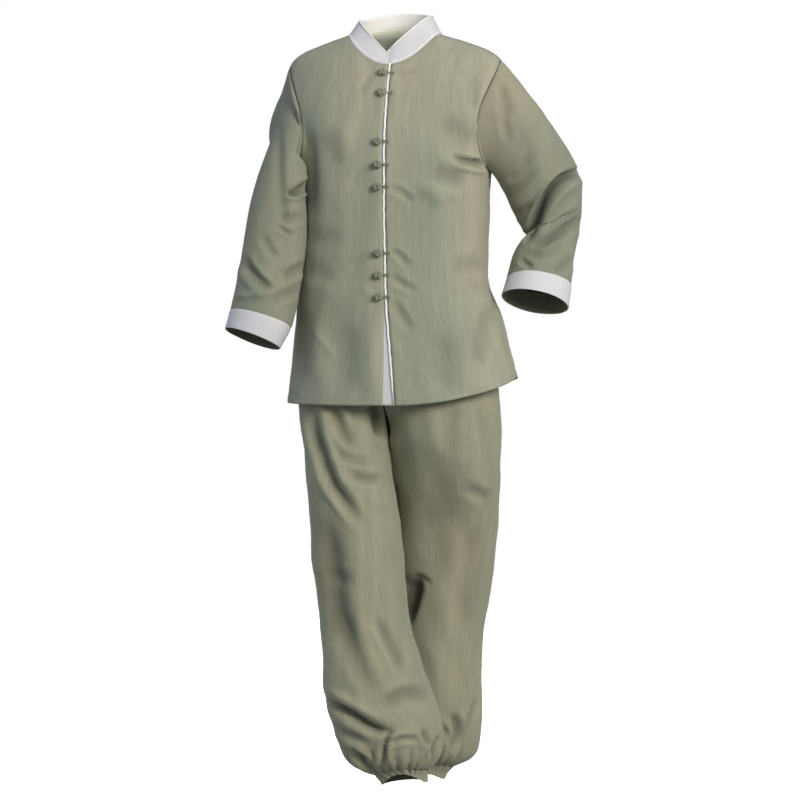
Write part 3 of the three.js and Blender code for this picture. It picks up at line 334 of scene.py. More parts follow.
LEFT_SLEEVE_CREASES = [
    Crease(
        [(334, -230), (318, -240), (288, -249), (262, -274), (244, -307), (232, -340), (226, -368)],
        12, 22, 0.25, 0.7,
    ),
    Crease([(322, -262), (292, -276), (270, -304), (258, -338)], 9, -3),
    Crease([(207, -125), (227, -186), (262, -230)], 14, -3),
    Crease([(180, -86), (189, -120), (197, -156)], 8, 5, 0.3),
    Crease([(176, -112), (186, -152), (196, -200)], 7, 3, 0.4),
    Crease([(226, -362), (273, -336), (322, -292)], 7, -6),
    Crease([(326, -320), (278, -352), (230, -380)], 11, 10, 0.2, 0.5),
    Crease([(214, -384), (260, -390), (300, -362)], 7, 5, 0.4),
    Crease([(214, -392), (228, -406), (236, -418)], 5.5, 4, 0.4),
    Crease([(258, -424), (286, -412), (318, -392)], 8, 3.4, 0.4),
    Crease([(184, -285), (210, -276), (244, -236)], 9, 4.5, 0.3),
    Crease([(190, -262), (214, -246), (234, -214)], 8, 3.4, 0.4),
    Crease([(200, -320), (222, -312), (238, -296)], 7, 3.4, 0.4),
]
SLEEVE_BACK_CREASES = [
    Crease([(-158, -296), (-190, -312), (-232, -318)], 9, 6, 0.5),
    Crease([(-162, -350), (-196, -358), (-238, -376)], 9, 5, 0.5),
    Crease([(-168, -402), (-200, -420), (-244, -428)], 8, 4, 0.4),
    Crease([(-176, -462), (-214, -470), (-256, -492)], 8, 4, 0.4),
    Crease([(200, -120), (226, -168), (262, -206)], 12, 4, 0.4),
    Crease([(224, -352), (256, -330), (300, -300)], 8, 7, 0.5),
    Crease([(230, -372), (268, -356), (318, -336)], 8, 6, 0.5),
    Crease([(216, -330), (248, -300), (286, -266)], 9, 5, 0.4),
    Crease([(214, -404), (254, -396), (300, -402)], 8, 4, 0.4),
    Crease([(196, -262), (222, -252), (252, -226)], 8, 4, 0.4),
]
LEG_CREASES = {
    RIGHT: [
        Crease(
            [(-153, -640), (-139, -705), (-126, -739), (-111, -782), (-91, -810), (-55, -860)],
            10, 9, 0.5,
        ),
        Crease(
            [(-129, -832), (-118, -883), (-108, -934), (-104, -990), (-94, -1050), (-82, -1104)],
            22, 11,
        ),
        Crease([(-112, -645), (-99, -685), (-74, -724)], 9, 7, 0.5),
        Crease([(-116, -722), (-87, -740), (-38, -746)], 8, 5, 0.5),
        Crease([(-84, -768), (-52, -777), (-22, -780)], 8, 5.5, 0.5),
        Crease([(-76, -790), (-42, -813), (-14, -834)], 8, -3),
        Crease([(-40, -636), (-30, -678), (-20, -708)], 11, 12),
        Crease([(-132, -1160), (-99, -1174), (-76, -1183), (-53, -1198), (-30, -1207), (-2, -1211)], 7, 14),
        Crease([(-128, -1138), (-88, -1158), (-66, -1169), (-45, -1180), (-15, -1192)], 8, -5),
        Crease([(-124, -1198), (-98, -1214), (-70, -1224), (-44, -1238)], 8, 5, 0.3),
        Crease([(-8, -1206), (-21, -1233), (-24, -1262), (-25, -1286)], 5, 8, 0.4),
        Crease([(-92, -1244), (-58, -1258), (-40, -1280), (-31, -1296)], 6, 8, 0.3),
        Crease([(-30, -1172), (-8, -1152), (15, -1143), (37, -1146), (64, -1160)], 9, 6, 0.2, -0.6),
        Crease([(-92, -1005), (-76, -1063), (-58, -1111), (-36, -1152)], 14, 4.5, 0.3),
        Crease([(-36, -1012), (-8, -1067), (6, -1094), (12, -1120)], 9, 5, 0.5),
        Crease([(-14, -1234), (10, -1220), (38, -1224)], 5, 4.5, 0.4),
        Crease([(33, -1200), (42, -1228), (51, -1248)], 4, -4),
        Crease([(45, -1206), (52, -1225), (61, -1243)], 5, 6),
        Crease([(76, -1222), (68, -1240), (58, -1256)], 5, 5, 0.3),
        Crease([(-104, -1046), (-110, -1109), (-116, -1150)], 14, -3),
        Crease([(-130, -940), (-96, -952), (-70, -946)], 12, 2.4, 0.3),
    ],
    LEFT: [
        Crease([(14, -1052), (24, -1016), (32, -988), (40, -956)], 20, 20, 0, 0.55),
        Crease([(62, -972), (50, -957), (26, -953)], 7, 4, 0.2, 0.5),
        Crease([(118, -792), (140, -803), (164, -818)], 10, 3.4, 0.3),
        Crease([(92, -1200), (106, -1216), (110, -1244), (98, -1276)], 8, 8, 0.3),
        Crease([(146, -1176), (132, -1217), (116, -1266)], 6, 4, 0.3),
        Crease([(76, -720), (84, -868), (71, -998)], 26, 4, 0.2),
        Crease([(130, -833), (131, -962), (121, -1071)], 22, 4, 0.2),
        Crease([(-16, -690), (-12, -750), (-6, -800)], 14, -7),
        Crease([(60, -1060), (78, -1142), (85, -1204)], 14, -3),
        Crease([(146, -640), (160, -710), (164, -781)], 12, 4, 0.3),
        Crease([(92, -640), (96, -690), (104, -740)], 16, 3.4, 0.3),
        Crease([(78, -1218), (92, -1240), (96, -1262)], 5, 4, 0.4),
    ],
}
LEG_BACK_CREASES = {
    RIGHT: [
        Crease([(-16, -704), (-58, -740), (-112, -792)], 13, 8, 0.3),
        Crease([(-20, -752), (-64, -792), (-104, -850)], 13, 6, 0.3),
        Crease([(-90, -640), (-84, -690), (-98, -740)], 18, 4, 0.3),
        Crease([(4, -1000), (-40, -1008), (-100, -986)], 12, 7, 0.4),
        Crease([(12, -1040), (-40, -1040), (-86, -1056)], 12, 5, 0.4),
        Crease([(-70, -860), (-64, -920), (-70, -980)], 22, 4, 0.2),
        Crease([(46, -1180), (4, -1202), (-64, -1186)], 10, 8, 0.4),
        Crease([(60, -1216), (16, -1232), (-40, -1222)], 8, 6, 0.4),
        Crease([(-56, -1226), (-30, -1252), (-8, -1276)], 7, 6, 0.3),
        Crease([(74, -1228), (56, -1252), (44, -1274)], 7, 5, 0.3),
    ],
    LEFT: [
        Crease([(18, -704), (62, -744), (118, -800)], 13, 8, 0.3),
        Crease([(14, -756), (58, -800), (96, -862)], 13, 6, 0.3),
        Crease([(98, -640), (92, -690), (104, -742)], 18, 4, 0.3),
        Crease([(10, -964), (60, -976), (120, -998)], 12, 7, 0.4),
        Crease([(20, -1010), (70, -1014), (124, -1040)], 12, 5, 0.4),
        Crease([(84, -860), (88, -920), (84, -980)], 22, 4, 0.2),
        Crease([(8, -1188), (52, -1214), (112, -1196)], 10, 8, 0.4),
        Crease([(4, -1234), (44, -1250), (96, -1240)], 8, 6, 0.4),
        Crease([(28, -1250), (38, -1276), (40, -1296)], 6, 5, 0.3),
        Crease([(104, -1244), (84, -1272), (72, -1290)], 7, 5, 0.3),
    ],
}


def lerp(a, b, share):
    return a + (b - a) * share


def smoothstep(value, low, high):
    share = np.clip((value - low) / (high - low), 0, 1)
    return share * share * (3 - 2 * share)


def sample(rows, key, place):
    """Values of a table's columns at places along one of them, on a smooth curve through its rows."""
    order = np.argsort(rows[key])
    keys = rows[key][order]
    last = len(keys) - 1
    at = np.clip(place, keys[0], keys[last])
    low = np.clip(np.searchsorted(keys, at, side="right") - 1, 0, last - 1)
    before, after = np.maximum(low - 1, 0), np.minimum(low + 2, last)
    span = keys[low + 1] - keys[low]
    share = (at - keys[low]) / span
    square, cube = share**2, share**3
    values = {}
    for name, column in rows.items():
        ys = column[order]
        slope_in = (ys[low + 1] - ys[before]) / (keys[low + 1] - keys[before])
        slope_out = (ys[after] - ys[low]) / (keys[after] - keys[low])
        values[name] = (
            (2 * cube - 3 * square + 1) * ys[low]
            + (cube - 2 * square + share) * span * slope_in
            + (3 * square - 2 * cube) * ys[low + 1]
            + (cube - square) * span * slope_out
        )
    return values


def unit(vectors):
    return vectors / np.maximum(np.linalg.norm(vectors, axis=-1, keepdims=True), 1e-9)


def grid_normals(grid, wrap, outward):
    """Unit normals of a grid of points, whose rows close on themselves where wrap is set."""
    along = np.gradient(grid, axis=1)
    if wrap:
        along = np.roll(grid, -1, 1) - np.roll(grid, 1, 1)
    down = np.gradient(grid, axis=0)
    return outward * unit(np.cross(along, down))


# Form of the jacket


def ring_depth(offset, half, depth, power):
    return depth * np.maximum(0, 1 - np.abs(offset / half) ** power) ** (1 / power)


def body_point(x, z, face):
    x, z = np.broadcast_arrays(np.asarray(x, float), np.asarray(z, float))
    ring = sample(BODY_RINGS, "z", z)
    depth = np.where(np.asarray(face) < 0, ring["front"], ring["back"])
    y = face * ring_depth(x - ring["middle"], ring["half"], depth, ring["power"])
    return np.stack([x, y, z], -1)


def side_gap(z):
    return HALF_GAP + VENT_SPREAD * smoothstep(VENT_TOP_Z - z, 0, VENT_TOP_Z - HEM["front"][0])


def neckline_place(angle):
    end = np.where(angle < math.pi / 2, NECK_FRONT_Z, NECK_BACK_Z)
    half = sample(BODY_RINGS, "z", NECK_SIDE_Z)["half"]
    return half * np.sin(angle), lerp(NECK_SIDE_Z, end, np.cos(angle) ** 2)


def top_place(angle_start):
    """The top edge of half a panel: the neckline to its side, and then the shoulder to its tip."""
    column = np.arange(PANEL_COLUMNS + 1)
    neck_x, neck_z = neckline_place(lerp(angle_start, math.pi / 2, column / NECK_COLUMNS))
    share = (column - NECK_COLUMNS) / (PANEL_COLUMNS - NECK_COLUMNS)
    shoulder_z = lerp(NECK_SIDE_Z, SHOULDER_Z, share)
    ring = sample(BODY_RINGS, "z", shoulder_z)
    on_neck = column <= NECK_COLUMNS
    x = np.where(on_neck, neck_x, ring["middle"] + ring["half"])
    return x, np.where(on_neck, neck_z, shoulder_z)


def jacket_half(side, face, middle_x):
    """Rows from the hem up to the neckline and shoulder, columns from the middle to the side seam."""
    key = "front" if face < 0 else "back"
    across = np.arange(PANEL_COLUMNS + 1) / PANEL_COLUMNS

    def ring_x(z, share):
        ring = sample(BODY_RINGS, "z", z)
        start = np.arcsin(side * (middle_x(z) - ring["middle"]) / ring["half"])
        return ring["middle"] + side * ring["half"] * np.sin(lerp(start, math.pi / 2, share))

    def place(x, z):
        points = body_point(x, z, face)
        points[..., 1] += face * side_gap(z)
        return points

    hem = sample(HEM, "side", side * across)[key]
    body_up = (np.arange(BODY_ROWS) / BODY_ROWS)[:, None]
    lower_z = lerp(hem, ARMPIT_Z, body_up)
    lower = place(ring_x(lower_z, across), lower_z)

    half_neck = sample(BODY_RINGS, "z", NECK_SIDE_Z)["half"]
    angle_start = math.asin(side * middle_x(NECK_FRONT_Z) / half_neck) if face < 0 else math.pi
    neck_z = float(neckline_place(np.array(angle_start))[1])
    up = (np.arange(YOKE_ROWS + 1) / YOKE_ROWS)[:, None]
    hole = sample(ARMHOLE, "share", up)
    middle_z = lerp(ARMPIT_Z, neck_z, up)
    top_x, top_z = top_place(angle_start)
    flat = np.full_like(across, ARMPIT_Z)

    def blend(bottom, top, start, end, corners):
        bottom_start, bottom_end, top_start, top_end = corners
        low = lerp(bottom_start, top_start, up)
        high = lerp(bottom_end, top_end, up)
        return lerp(bottom, top, up) + lerp(start, end, across) - lerp(low, high, across)

    side_x = float(ring_x(ARMPIT_Z, 1))
    x = blend(
        ring_x(flat, across), side * top_x, middle_x(middle_z), side * hole[key],
        (middle_x(ARMPIT_Z), side_x, middle_x(neck_z), side * ARMHOLE[key][-1]),
    )
    z = blend(flat, top_z, middle_z, hole["z"], (ARMPIT_Z, ARMPIT_Z, neck_z, SHOULDER_Z))
    return np.concatenate([lower, place(x, z)])


def right_edge(z):
    return sample(FRONT_EDGES, "z", z)["right"]


def left_edge(z):
    return sample(FRONT_EDGES, "z", z)["left"]


def front_grid(side):
    return jacket_half(side, FRONT, right_edge if side < 0 else left_edge)


def back_grid():
    right, left = (jacket_half(side, BACK, lambda z: np.zeros_like(z, float)) for side in (RIGHT, LEFT))
    return np.concatenate([right[:, ::-1], left[:, 1:]], axis=1)


def armhole_loop(side):
    """The armhole's edge from the armpit up the front to the shoulder tip and down the back."""
    front = front_grid(side)[BODY_ROWS:, -1]
    back = back_grid()[BODY_ROWS:, 0 if side < 0 else -1]
    loop = np.concatenate([front, back[-2:0:-1]])
    loop[0] = (front[0] + back[0]) / 2
    loop[YOKE_ROWS] = (front[-1] + back[-1]) / 2
    return loop


# Form of the sleeves


def section_frame(rows, share):
    """A sleeve section's middle, its half width and its depth, as vectors."""

    def ends(at):
        row = sample(rows, "at", np.array(at))
        inner = np.array([row["in_x"], row["in_y"], row["in_z"]])
        outer = np.array([row["out_x"], row["out_y"], row["out_z"]])
        return inner, outer, row["depth"]

    inner, outer, depth = ends(share)
    before, after = ends(max(share - SECTION_STEP, 0)), ends(min(share + SECTION_STEP, 1))
    along = (after[0] + after[1] - before[0] - before[1]) / 2
    half = (outer - inner) / 2
    across = unit(np.cross(along, half))
    if across[1] > 0:
        across = -across
    toward = lerp(np.array([0, -1.0, 0]), across, smoothstep(share, 0, CAP_SHARE))
    return (inner + outer) / 2, half, unit(toward) * depth


def sleeve_ring(rows, share):
    middle, half, depth = section_frame(rows, share)
    angle = math.pi * (1 - np.arange(2 * YOKE_ROWS) / YOKE_ROWS)
    return middle + np.cos(angle)[:, None] * half + np.sin(angle)[:, None] * depth


def clear_of_body(points, side, clearance):
    """Sleeve points, held outside the jacket's side and above the armpit outside the armhole."""
    ring = sample(BODY_RINGS, "z", points[:, 2])
    hole = sample(ARMHOLE, "z", points[:, 2])
    ahead = points[:, 1] < 0
    depth = np.where(ahead, ring["front"], ring["back"])
    edge = np.where(ahead, hole["front"], hole["back"])
    near = np.abs(points[:, 1]) < depth
    skin = ring_depth(points[:, 1], depth, ring["half"], ring["power"])
    skin = np.minimum(skin, np.where(points[:, 2] > ARMPIT_Z, edge, ring["half"]))
    blended = lerp(skin, edge, smoothstep(points[:, 2], ARMPIT_Z, ARMPIT_Z + ARMHOLE_BLEND))
    limit = blended + clearance
    inside = near & (side * (points[:, 0] - ring["middle"]) < limit)
    held = points.copy()
    held[:, 0] = np.where(inside, ring["middle"] + side * limit, points[:, 0])
    return held


def sleeve_grid(side):
    rows, loop = SLEEVES[side], armhole_loop(side)
    grid = []
    for row in range(SLEEVE_ROWS + 1):
        share = CUFF_SHARES[side] * row / SLEEVE_ROWS
        from_loop = 1 - smoothstep(share, 0, CAP_SHARE)
        ring = lerp(sleeve_ring(rows, share), loop, from_loop)
        if row > 0:
            ring = clear_of_body(ring, side, SLEEVE_CLEARANCE * smoothstep(share, 0, CAP_SHARE / 3))
        grid.append(ring)
    grid[0] = grid[0] + SEAM_GAP * unit(grid[0] - grid[1])
    return np.array(grid)


def cuff_grid(side):
    rows, start = SLEEVES[side], CUFF_SHARES[side]
    grid = np.array([sleeve_ring(rows, lerp(start, 1, r / CUFF_ROWS)) for r in range(CUFF_ROWS + 1)])
    centre = grid.mean(axis=1, keepdims=True)
    return grid + CUFF_FLARE * unit(grid - centre)


# Form of the trousers


def ankle_lift(ring, x, y):
    return ring["tilt"] * x + np.where(y < 0, ring["arch"] * (y / ring["half_y"]) ** 2, 0)


def trouser_grid(side, face):
    """Rows from the waist down to the ankle, columns from the inner seam to the outer one."""
    leg_rows = LEGS[side]
    bottom = leg_rows["z"][-1]
    hip_z = lerp(WAIST_Z, CROTCH_Z, np.arange(HIP_ROWS) / HIP_ROWS)
    leg_z = lerp(CROTCH_Z, bottom, np.arange(LEG_ROWS + 1) / LEG_ROWS)
    z = np.concatenate([hip_z, leg_z])[:, None]
    turn = math.pi * np.arange(LEG_COLUMNS + 1) / LEG_COLUMNS
    hip = sample(HIP_RINGS, "z", z)
    leg = sample(leg_rows, "z", z)
    half = hip["right"] if side < 0 else hip["left"]
    hip_x = half * np.sin(turn / 2)
    depth = hip["front"] if face < 0 else hip["back"]
    hip_y = face * ring_depth(hip_x, half, depth, hip["power"])
    on_hip = np.stack([hip["middle"] + side * hip_x, hip_y, z + 0 * turn], -1)
    leg_x = -side * leg["half_x"] * np.cos(turn)
    leg_y = face * leg["half_y"] * np.sin(turn)
    lift = ankle_lift(leg, leg_x, leg_y)
    on_leg = np.stack([leg["x"] + leg_x, leg["y"] + leg_y + leg["skew"] * np.cos(turn), z + lift], -1)
    to_leg = smoothstep(CROTCH_Z + CROTCH_BLEND - z, 0, CROTCH_BLEND)[..., None]
    points = lerp(on_hip, on_leg, to_leg)
    for _ in range(CROTCH_ROUNDS):
        near = slice(HIP_ROWS - CROTCH_REACH, HIP_ROWS + CROTCH_REACH)
        above, below = points[:-2][near], points[2:][near]
        points[1:-1][near] = (above + 2 * points[1:-1][near] + below) / 4
    return points + np.array([side * HALF_GAP, face * HALF_GAP, 0])


def gather_wave(turn, seed):
    """Uneven gathers round a ring, from -1 in the sharp folds to 1 on the round ridges."""
    rng = np.random.default_rng(seed)
    phases = rng.uniform(0, 2 * math.pi, 4)
    drift = 1.1 * np.sin(3 * turn + phases[0]) + 0.8 * np.sin(5 * turn + phases[1])
    phase = GATHERS * turn + drift + 0.5 * np.sin(8 * turn + phases[2])
    height = 0.75 + 0.25 * np.sin(2 * turn + phases[3])
    return height * (2 * np.abs(np.sin(phase / 2)) ** 0.7 - 1)


def casing_grid(side):
    rows = CASINGS[side]
    turn = 2 * math.pi * np.arange(CASING_COLUMNS) / CASING_COLUMNS
    z = lerp(rows["z"][0] - SEAM_GAP, rows["z"][-1], np.linspace(0, 1, CASING_ROWS + 1))[:, None]
    ring = sample(rows, "z", z)
    x, y = ring["half_x"] * np.cos(turn), ring["half_y"] * np.sin(turn)
    return np.stack([ring["x"] + x, ring["y"] + y, z + ankle_lift(ring, x, y)], -1)


# Creases and unevenness of the cloth

END_SHARE = 0.3
END_OVERRUN = 0.05
BANK_PLACE = 1.8
BANK_WIDTH = 0.7
RIPPLES = 7
RIPPLE_LENGTH = 75
FINE_LENGTH = 19
FINE_SHARE = 0.22
FINE_SEED = 50
FACE_EDGE = 0.2
FACE_BLEND = 0.5
# How much the gathers' outward shift counts in the painted crease shade
FOLD_GAIN = 3


def rounded(points, rounds=3):
    """A path whose corners are cut until it is smooth. Its ends stay."""
    path = np.array(points, float)
    for _ in range(rounds):
        early = 0.75 * path[:-1] + 0.25 * path[1:]
        late = 0.25 * path[:-1] + 0.75 * path[1:]
        cut = np.stack([early, late], 1).reshape(-1, path.shape[1])
        path = np.concatenate([path[:1], cut, path[-1:]])
    return path


def crease_depth(crease, across, z):
    """How far one crease pushes the cloth in, at places of the picture plane."""
    path = rounded(crease.path)
    start, run = path[:-1], np.diff(path, axis=0)
    length = np.linalg.norm(run, axis=1)
    offset = np.stack([across, z], -1)[..., None, :] - start
    along = np.clip((offset * run).sum(-1) / length**2, 0, 1)
    distance = np.linalg.norm(offset - along[..., None] * run, axis=-1)
    nearest = distance.argmin(-1)[..., None]
    turned = run[:, 0] * offset[..., 1] - run[:, 1] * offset[..., 0]
    on_right = np.take_along_axis(turned, nearest, -1)[..., 0] < 0
    width = crease.width * np.where(on_right, 1 - crease.steep, 1)
    away = np.take_along_axis(distance, nearest, -1)[..., 0] / width
    walked = np.concatenate([[0], np.cumsum(length)[:-1]])
    place = (walked + along * length) / length.sum()
    share = np.take_along_axis(place, nearest, -1)[..., 0]
    ends = smoothstep(share, -END_OVERRUN, END_SHARE) * smoothstep(1 - share, -END_OVERRUN, END_SHARE)
    banks = crease.lip * np.exp(-(((away - BANK_PLACE) / BANK_WIDTH) ** 2))
    return crease.depth * ends * (np.exp(-(away**2)) - banks)


def creases_on(grid, normals, front, back):
    """Inward shift of all creases. Each shows on the side of the piece that faces its viewer."""
    shift = np.zeros(grid.shape[:2])
    views = [(front, PICTURE_ACROSS, TO_CAMERA), (back, STRAIGHT_ACROSS, STRAIGHT_BACK)]
    for creases, sideways, viewer in views:
        weight = np.clip((normals @ viewer + FACE_EDGE) / FACE_BLEND, 0, 1)
        for crease in creases:
            shift += weight * crease_depth(crease, grid @ sideways, grid[..., 2])
    return shift


def ripples(grid, seed, amplitude, length):
    """Low uneven waves over a piece."""
    rng = np.random.default_rng(seed)
    total = np.zeros(grid.shape[:2])
    for _ in range(RIPPLES):
        direction = unit(rng.normal(size=3) * np.array([1, 1, 0.6]))
        pitch = length * rng.uniform(0.6, 1.7)
        total += np.sin(grid @ direction * 2 * math.pi / pitch + rng.uniform(0, 2 * math.pi))
    return amplitude * total / math.sqrt(RIPPLES)


def runs(grid):
    """Distances along the rows and down the columns of a grid."""
    across = np.linalg.norm(np.diff(grid, axis=1), axis=-1)
    down = np.linalg.norm(np.diff(grid, axis=0), axis=-1)
    row_run = np.concatenate([np.zeros((grid.shape[0], 1)), np.cumsum(across, 1)], 1)
    column_run = np.concatenate([np.zeros((1, grid.shape[1])), np.cumsum(down, 0)], 0)
    return row_run, column_run


def edge_fields(grid):
    """For each edge of a grid, the distance from it and the run along it."""
    row_run, column_run = runs(grid)
    return {
        "start": (row_run, column_run),
        "end": (row_run[:, -1:] - row_run, column_run),
        "top": (column_run, row_run),
        "bottom": (column_run[-1:] - column_run, row_run),
    }


# What an edge does to the cloth beside it: dip is how far the seam rolls in, pucker the height of
# the small gathers that its stitches pull, and lift the height of a hem's double cloth.
Edge = namedtuple("Edge", "dip pucker lift", defaults=(0,))
SEAM = Edge(1.5, 0.25)
SLEEVE_SEAM = Edge(0.9, 0.5)
CUFF_SEAM = Edge(0.9, 0.3)
HEM_FOLD = Edge(0, 0.3, 0.7)
OPEN_EDGE = Edge(0.5, 0.2, 0.3)
SEAM_WIDTH = 2.6
PUCKER_REACH = 9
PUCKER_PITCH = 8
HEM_WIDTH = 11
HEM_STEP = 1.5
CALM_REACH = 14


def edge_shift(grid, edges, seed):
    rng = np.random.default_rng(seed)
    fields = edge_fields(grid)
    shift = np.zeros(grid.shape[:2])
    calm = np.ones(grid.shape[:2])
    for name, edge in edges.items():
        distance, along = fields[name]
        wander = 2 * np.sin(along / 31 + rng.uniform(0, 6)) + np.sin(along / 13 + rng.uniform(0, 6))
        wave = np.sin(along * 2 * math.pi / PUCKER_PITCH + wander)
        shift -= edge.dip * np.exp(-((distance / SEAM_WIDTH) ** 2))
        shift += edge.pucker * wave * np.exp(-((distance / PUCKER_REACH) ** 2))
        shift += edge.lift * (1 - smoothstep(distance, HEM_WIDTH - HEM_STEP, HEM_WIDTH + HEM_STEP))
        calm = np.minimum(calm, smoothstep(distance, 0, CALM_REACH))
    return shift, calm


def drape(grid, wrap, outward, edges, seed, front=(), back=(), ripple=0.8, gain=1.25, extra=0):
    """The cloth of a piece: its form, moved along its normals by creases, waves and seams.

    extra is one more outward shift. The second result is how far in each place is pushed, by its
    creases and FOLD_GAIN times by extra, for the shade painted into the cloth's colour.
    """
    normals = grid_normals(grid, wrap, outward)
    shift, calm = edge_shift(grid, edges, seed)
    waves = ripples(grid, seed, ripple, RIPPLE_LENGTH)
    waves = waves + ripples(grid, seed + FINE_SEED, FINE_SHARE * ripple, FINE_LENGTH)
    folds = gain * calm * creases_on(grid, normals, front, back)
    shift = shift + calm * waves - folds + extra
    return grid + shift[..., None] * normals, folds - FOLD_GAIN * extra


# Materials


def set_inputs(node, **inputs):
    """Sets a node's inputs by their names, with underscores for spaces."""
    for name, value in inputs.items():
        node.inputs[name.replace("_", " ")].default_value = value
    return node


def add_node(tree, kind, **inputs):
    return set_inputs(tree.nodes.new(kind), **inputs)


def new_material(name, **inputs):
    """A material and its node tree, with inputs of its shader."""
    material = bpy.data.materials.new(name)
    material.use_nodes = True
    tree = material.node_tree
    set_inputs(tree.nodes["Principled BSDF"], **inputs)
    return material, tree


def stretched_noise(tree, source, stretch, detail=3):
    """Noise that is drawn out along the threads. stretch is its fineness across and along."""
    mapping = add_node(tree, "ShaderNodeMapping", Scale=(*stretch, 1))
    noise = add_node(tree, "ShaderNodeTexNoise", Scale=1, Detail=detail, Roughness=0.6)
    tree.links.new(source, mapping.inputs["Vector"])
    tree.links.new(mapping.outputs["Vector"], noise.inputs["Vector"])
    return noise.outputs["Fac"]


def blend_colour(tree, factor, low, high):
    """A colour between two, by a factor that is first spread over its middle range."""
    ramp = tree.nodes.new("ShaderNodeValToRGB")
    ramp.color_ramp.elements[0].position = 0.3
    ramp.color_ramp.elements[0].color = (*low, 1)
    ramp.color_ramp.elements[1].position = 0.7
    ramp.color_ramp.elements[1].color = (*high, 1)
    tree.links.new(factor, ramp.inputs["Fac"])
    return ramp.outputs["Color"]


def multiply(tree, first, second):
    mix = tree.nodes.new("ShaderNodeMix")
    mix.data_type = "RGBA"
    mix.blend_type = "MULTIPLY"
    mix.inputs["Factor"].default_value = 1
    tree.links.new(first, mix.inputs["A"])
    tree.links.new(second, mix.inputs["B"])
    return mix.outputs["Result"]


def grey(level):
    return (level, level, level)


# Depth field that sets the painted crease shade, the depth where it is darkest, and how dark it gets
FOLD_FIELD = "fold"
FOLD_FULL = 14
PAINTED_SHADE_DARKEST = 0.5


def painted_crease_shade(tree):
    """Painted shade that darkens the cloth's colour in creases. The meshes keep the depth of their creases
    as a field in mm.
    """
    field = tree.nodes.new("ShaderNodeAttribute")
    field.attribute_name = FOLD_FIELD
    ramp = add_node(
        tree, "ShaderNodeMapRange", From_Min=0, From_Max=FOLD_FULL, To_Min=1, To_Max=PAINTED_SHADE_DARKEST,
    )
    tree.links.new(field.outputs["Fac"], ramp.inputs["Value"])
    return ramp.outputs["Result"]


# Fineness of the cloth's patterns, across and along
TONE_SCALE = (7, 7)
MOTTLE_SCALE = (55, 55)
WARP_SCALE = (420, 16)
WEFT_SCALE = (22, 520)
THREAD_SCALE = 190
WEFT_SHARE = 0.2
MOTTLE_SHARE = 0.7


def woven(name, low, high, slub, weave, roughness=0.92, sheen=0.12):
    """Woven cloth: slubs drawn out along the warp, a finer weft, broad tone and a thread-scale bump.

    low and high are the ends of its broad tone, slub is the strength of its streaks and weave that
    of its bump.
    """
    material, tree = new_material(
        name, Roughness=roughness, Specular_IOR_Level=0.18, Sheen_Weight=sheen, Sheen_Roughness=0.6,
    )
    shader = tree.nodes["Principled BSDF"]
    uv = tree.nodes.new("ShaderNodeUVMap").outputs["UV"]
    place = tree.nodes.new("ShaderNodeTexCoord").outputs["Object"]
    tone = blend_colour(tree, stretched_noise(tree, place, TONE_SCALE, 2), low, high)
    warp = stretched_noise(tree, uv, WARP_SCALE)
    weft = stretched_noise(tree, uv, WEFT_SCALE)
    mottle = stretched_noise(tree, place, MOTTLE_SCALE)
    colour = tone
    for pattern, share in ((warp, 1), (weft, WEFT_SHARE), (mottle, MOTTLE_SHARE)):
        streak = blend_colour(tree, pattern, grey(1 - share * slub), grey(1 + share * slub))
        colour = multiply(tree, colour, streak)
    # Painted shade: the colour is darker where the creases are deeper
    colour = multiply(tree, colour, painted_crease_shade(tree))
    tree.links.new(colour, shader.inputs["Base Color"])
    threads = []
    for direction in ("X", "Y"):
        wave = add_node(tree, "ShaderNodeTexWave", Scale=THREAD_SCALE, Distortion=1.5, Detail=1)
        wave.bands_direction = direction
        tree.links.new(uv, wave.inputs["Vector"])
        threads.append(wave.outputs["Fac"])
    cross = tree.nodes.new("ShaderNodeMath")
    cross.operation = "MULTIPLY"
    tree.links.new(threads[0], cross.inputs[0])
    tree.links.new(threads[1], cross.inputs[1])
    fine = add_node(tree, "ShaderNodeBump", Strength=weave, Distance=0.0004)
    tree.links.new(cross.outputs[0], fine.inputs["Height"])
    coarse = add_node(tree, "ShaderNodeBump", Strength=0.5 * weave, Distance=0.0006)
    tree.links.new(warp, coarse.inputs["Height"])
    tree.links.new(fine.outputs["Normal"], coarse.inputs["Normal"])
    tree.links.new(coarse.outputs["Normal"], shader.inputs["Normal"])
    return material


JACKET_CLOTH = woven("jacket_cloth", (0.26, 0.295, 0.23), (0.41, 0.385, 0.29), 0.1, 0.7)
# The sleeves' cloth is the jacket's cloth made darker: painted shade, the same cloth seen in less light
SHADED_SLEEVE_CLOTH = woven("sleeve_cloth_painted_shade", (0.21, 0.24, 0.188), (0.33, 0.31, 0.228), 0.07, 0.7)
JACKET_INSIDE = woven("jacket_inside", (0.6, 0.62, 0.52), (0.76, 0.75, 0.63), 0.08, 0.5)
TROUSER_CLOTH = woven("trouser_cloth", (0.275, 0.285, 0.21), (0.375, 0.35, 0.245), 0.09, 0.6)
# Inner walls of the sleeves, cuffs, trousers, casings and waistband: painted shade, dark cloth for the
# shadow inside the tubes
SHADED_INSIDE = woven("cloth_inside_painted_shade", (0.15, 0.15, 0.11), (0.19, 0.185, 0.14), 0.05, 0.4)
TRIM = woven("trim_cloth", (0.6, 0.595, 0.64), (0.68, 0.67, 0.71), 0.03, 0.3, sheen=0.05)
PIPING_CLOTH = woven("piping_cloth", (0.9, 0.89, 0.88), (0.95, 0.94, 0.92), 0.02, 0.2, sheen=0.05)
CORD = woven("cord_cloth", (0.19, 0.2, 0.145), (0.3, 0.31, 0.23), 0.1, 0.8)
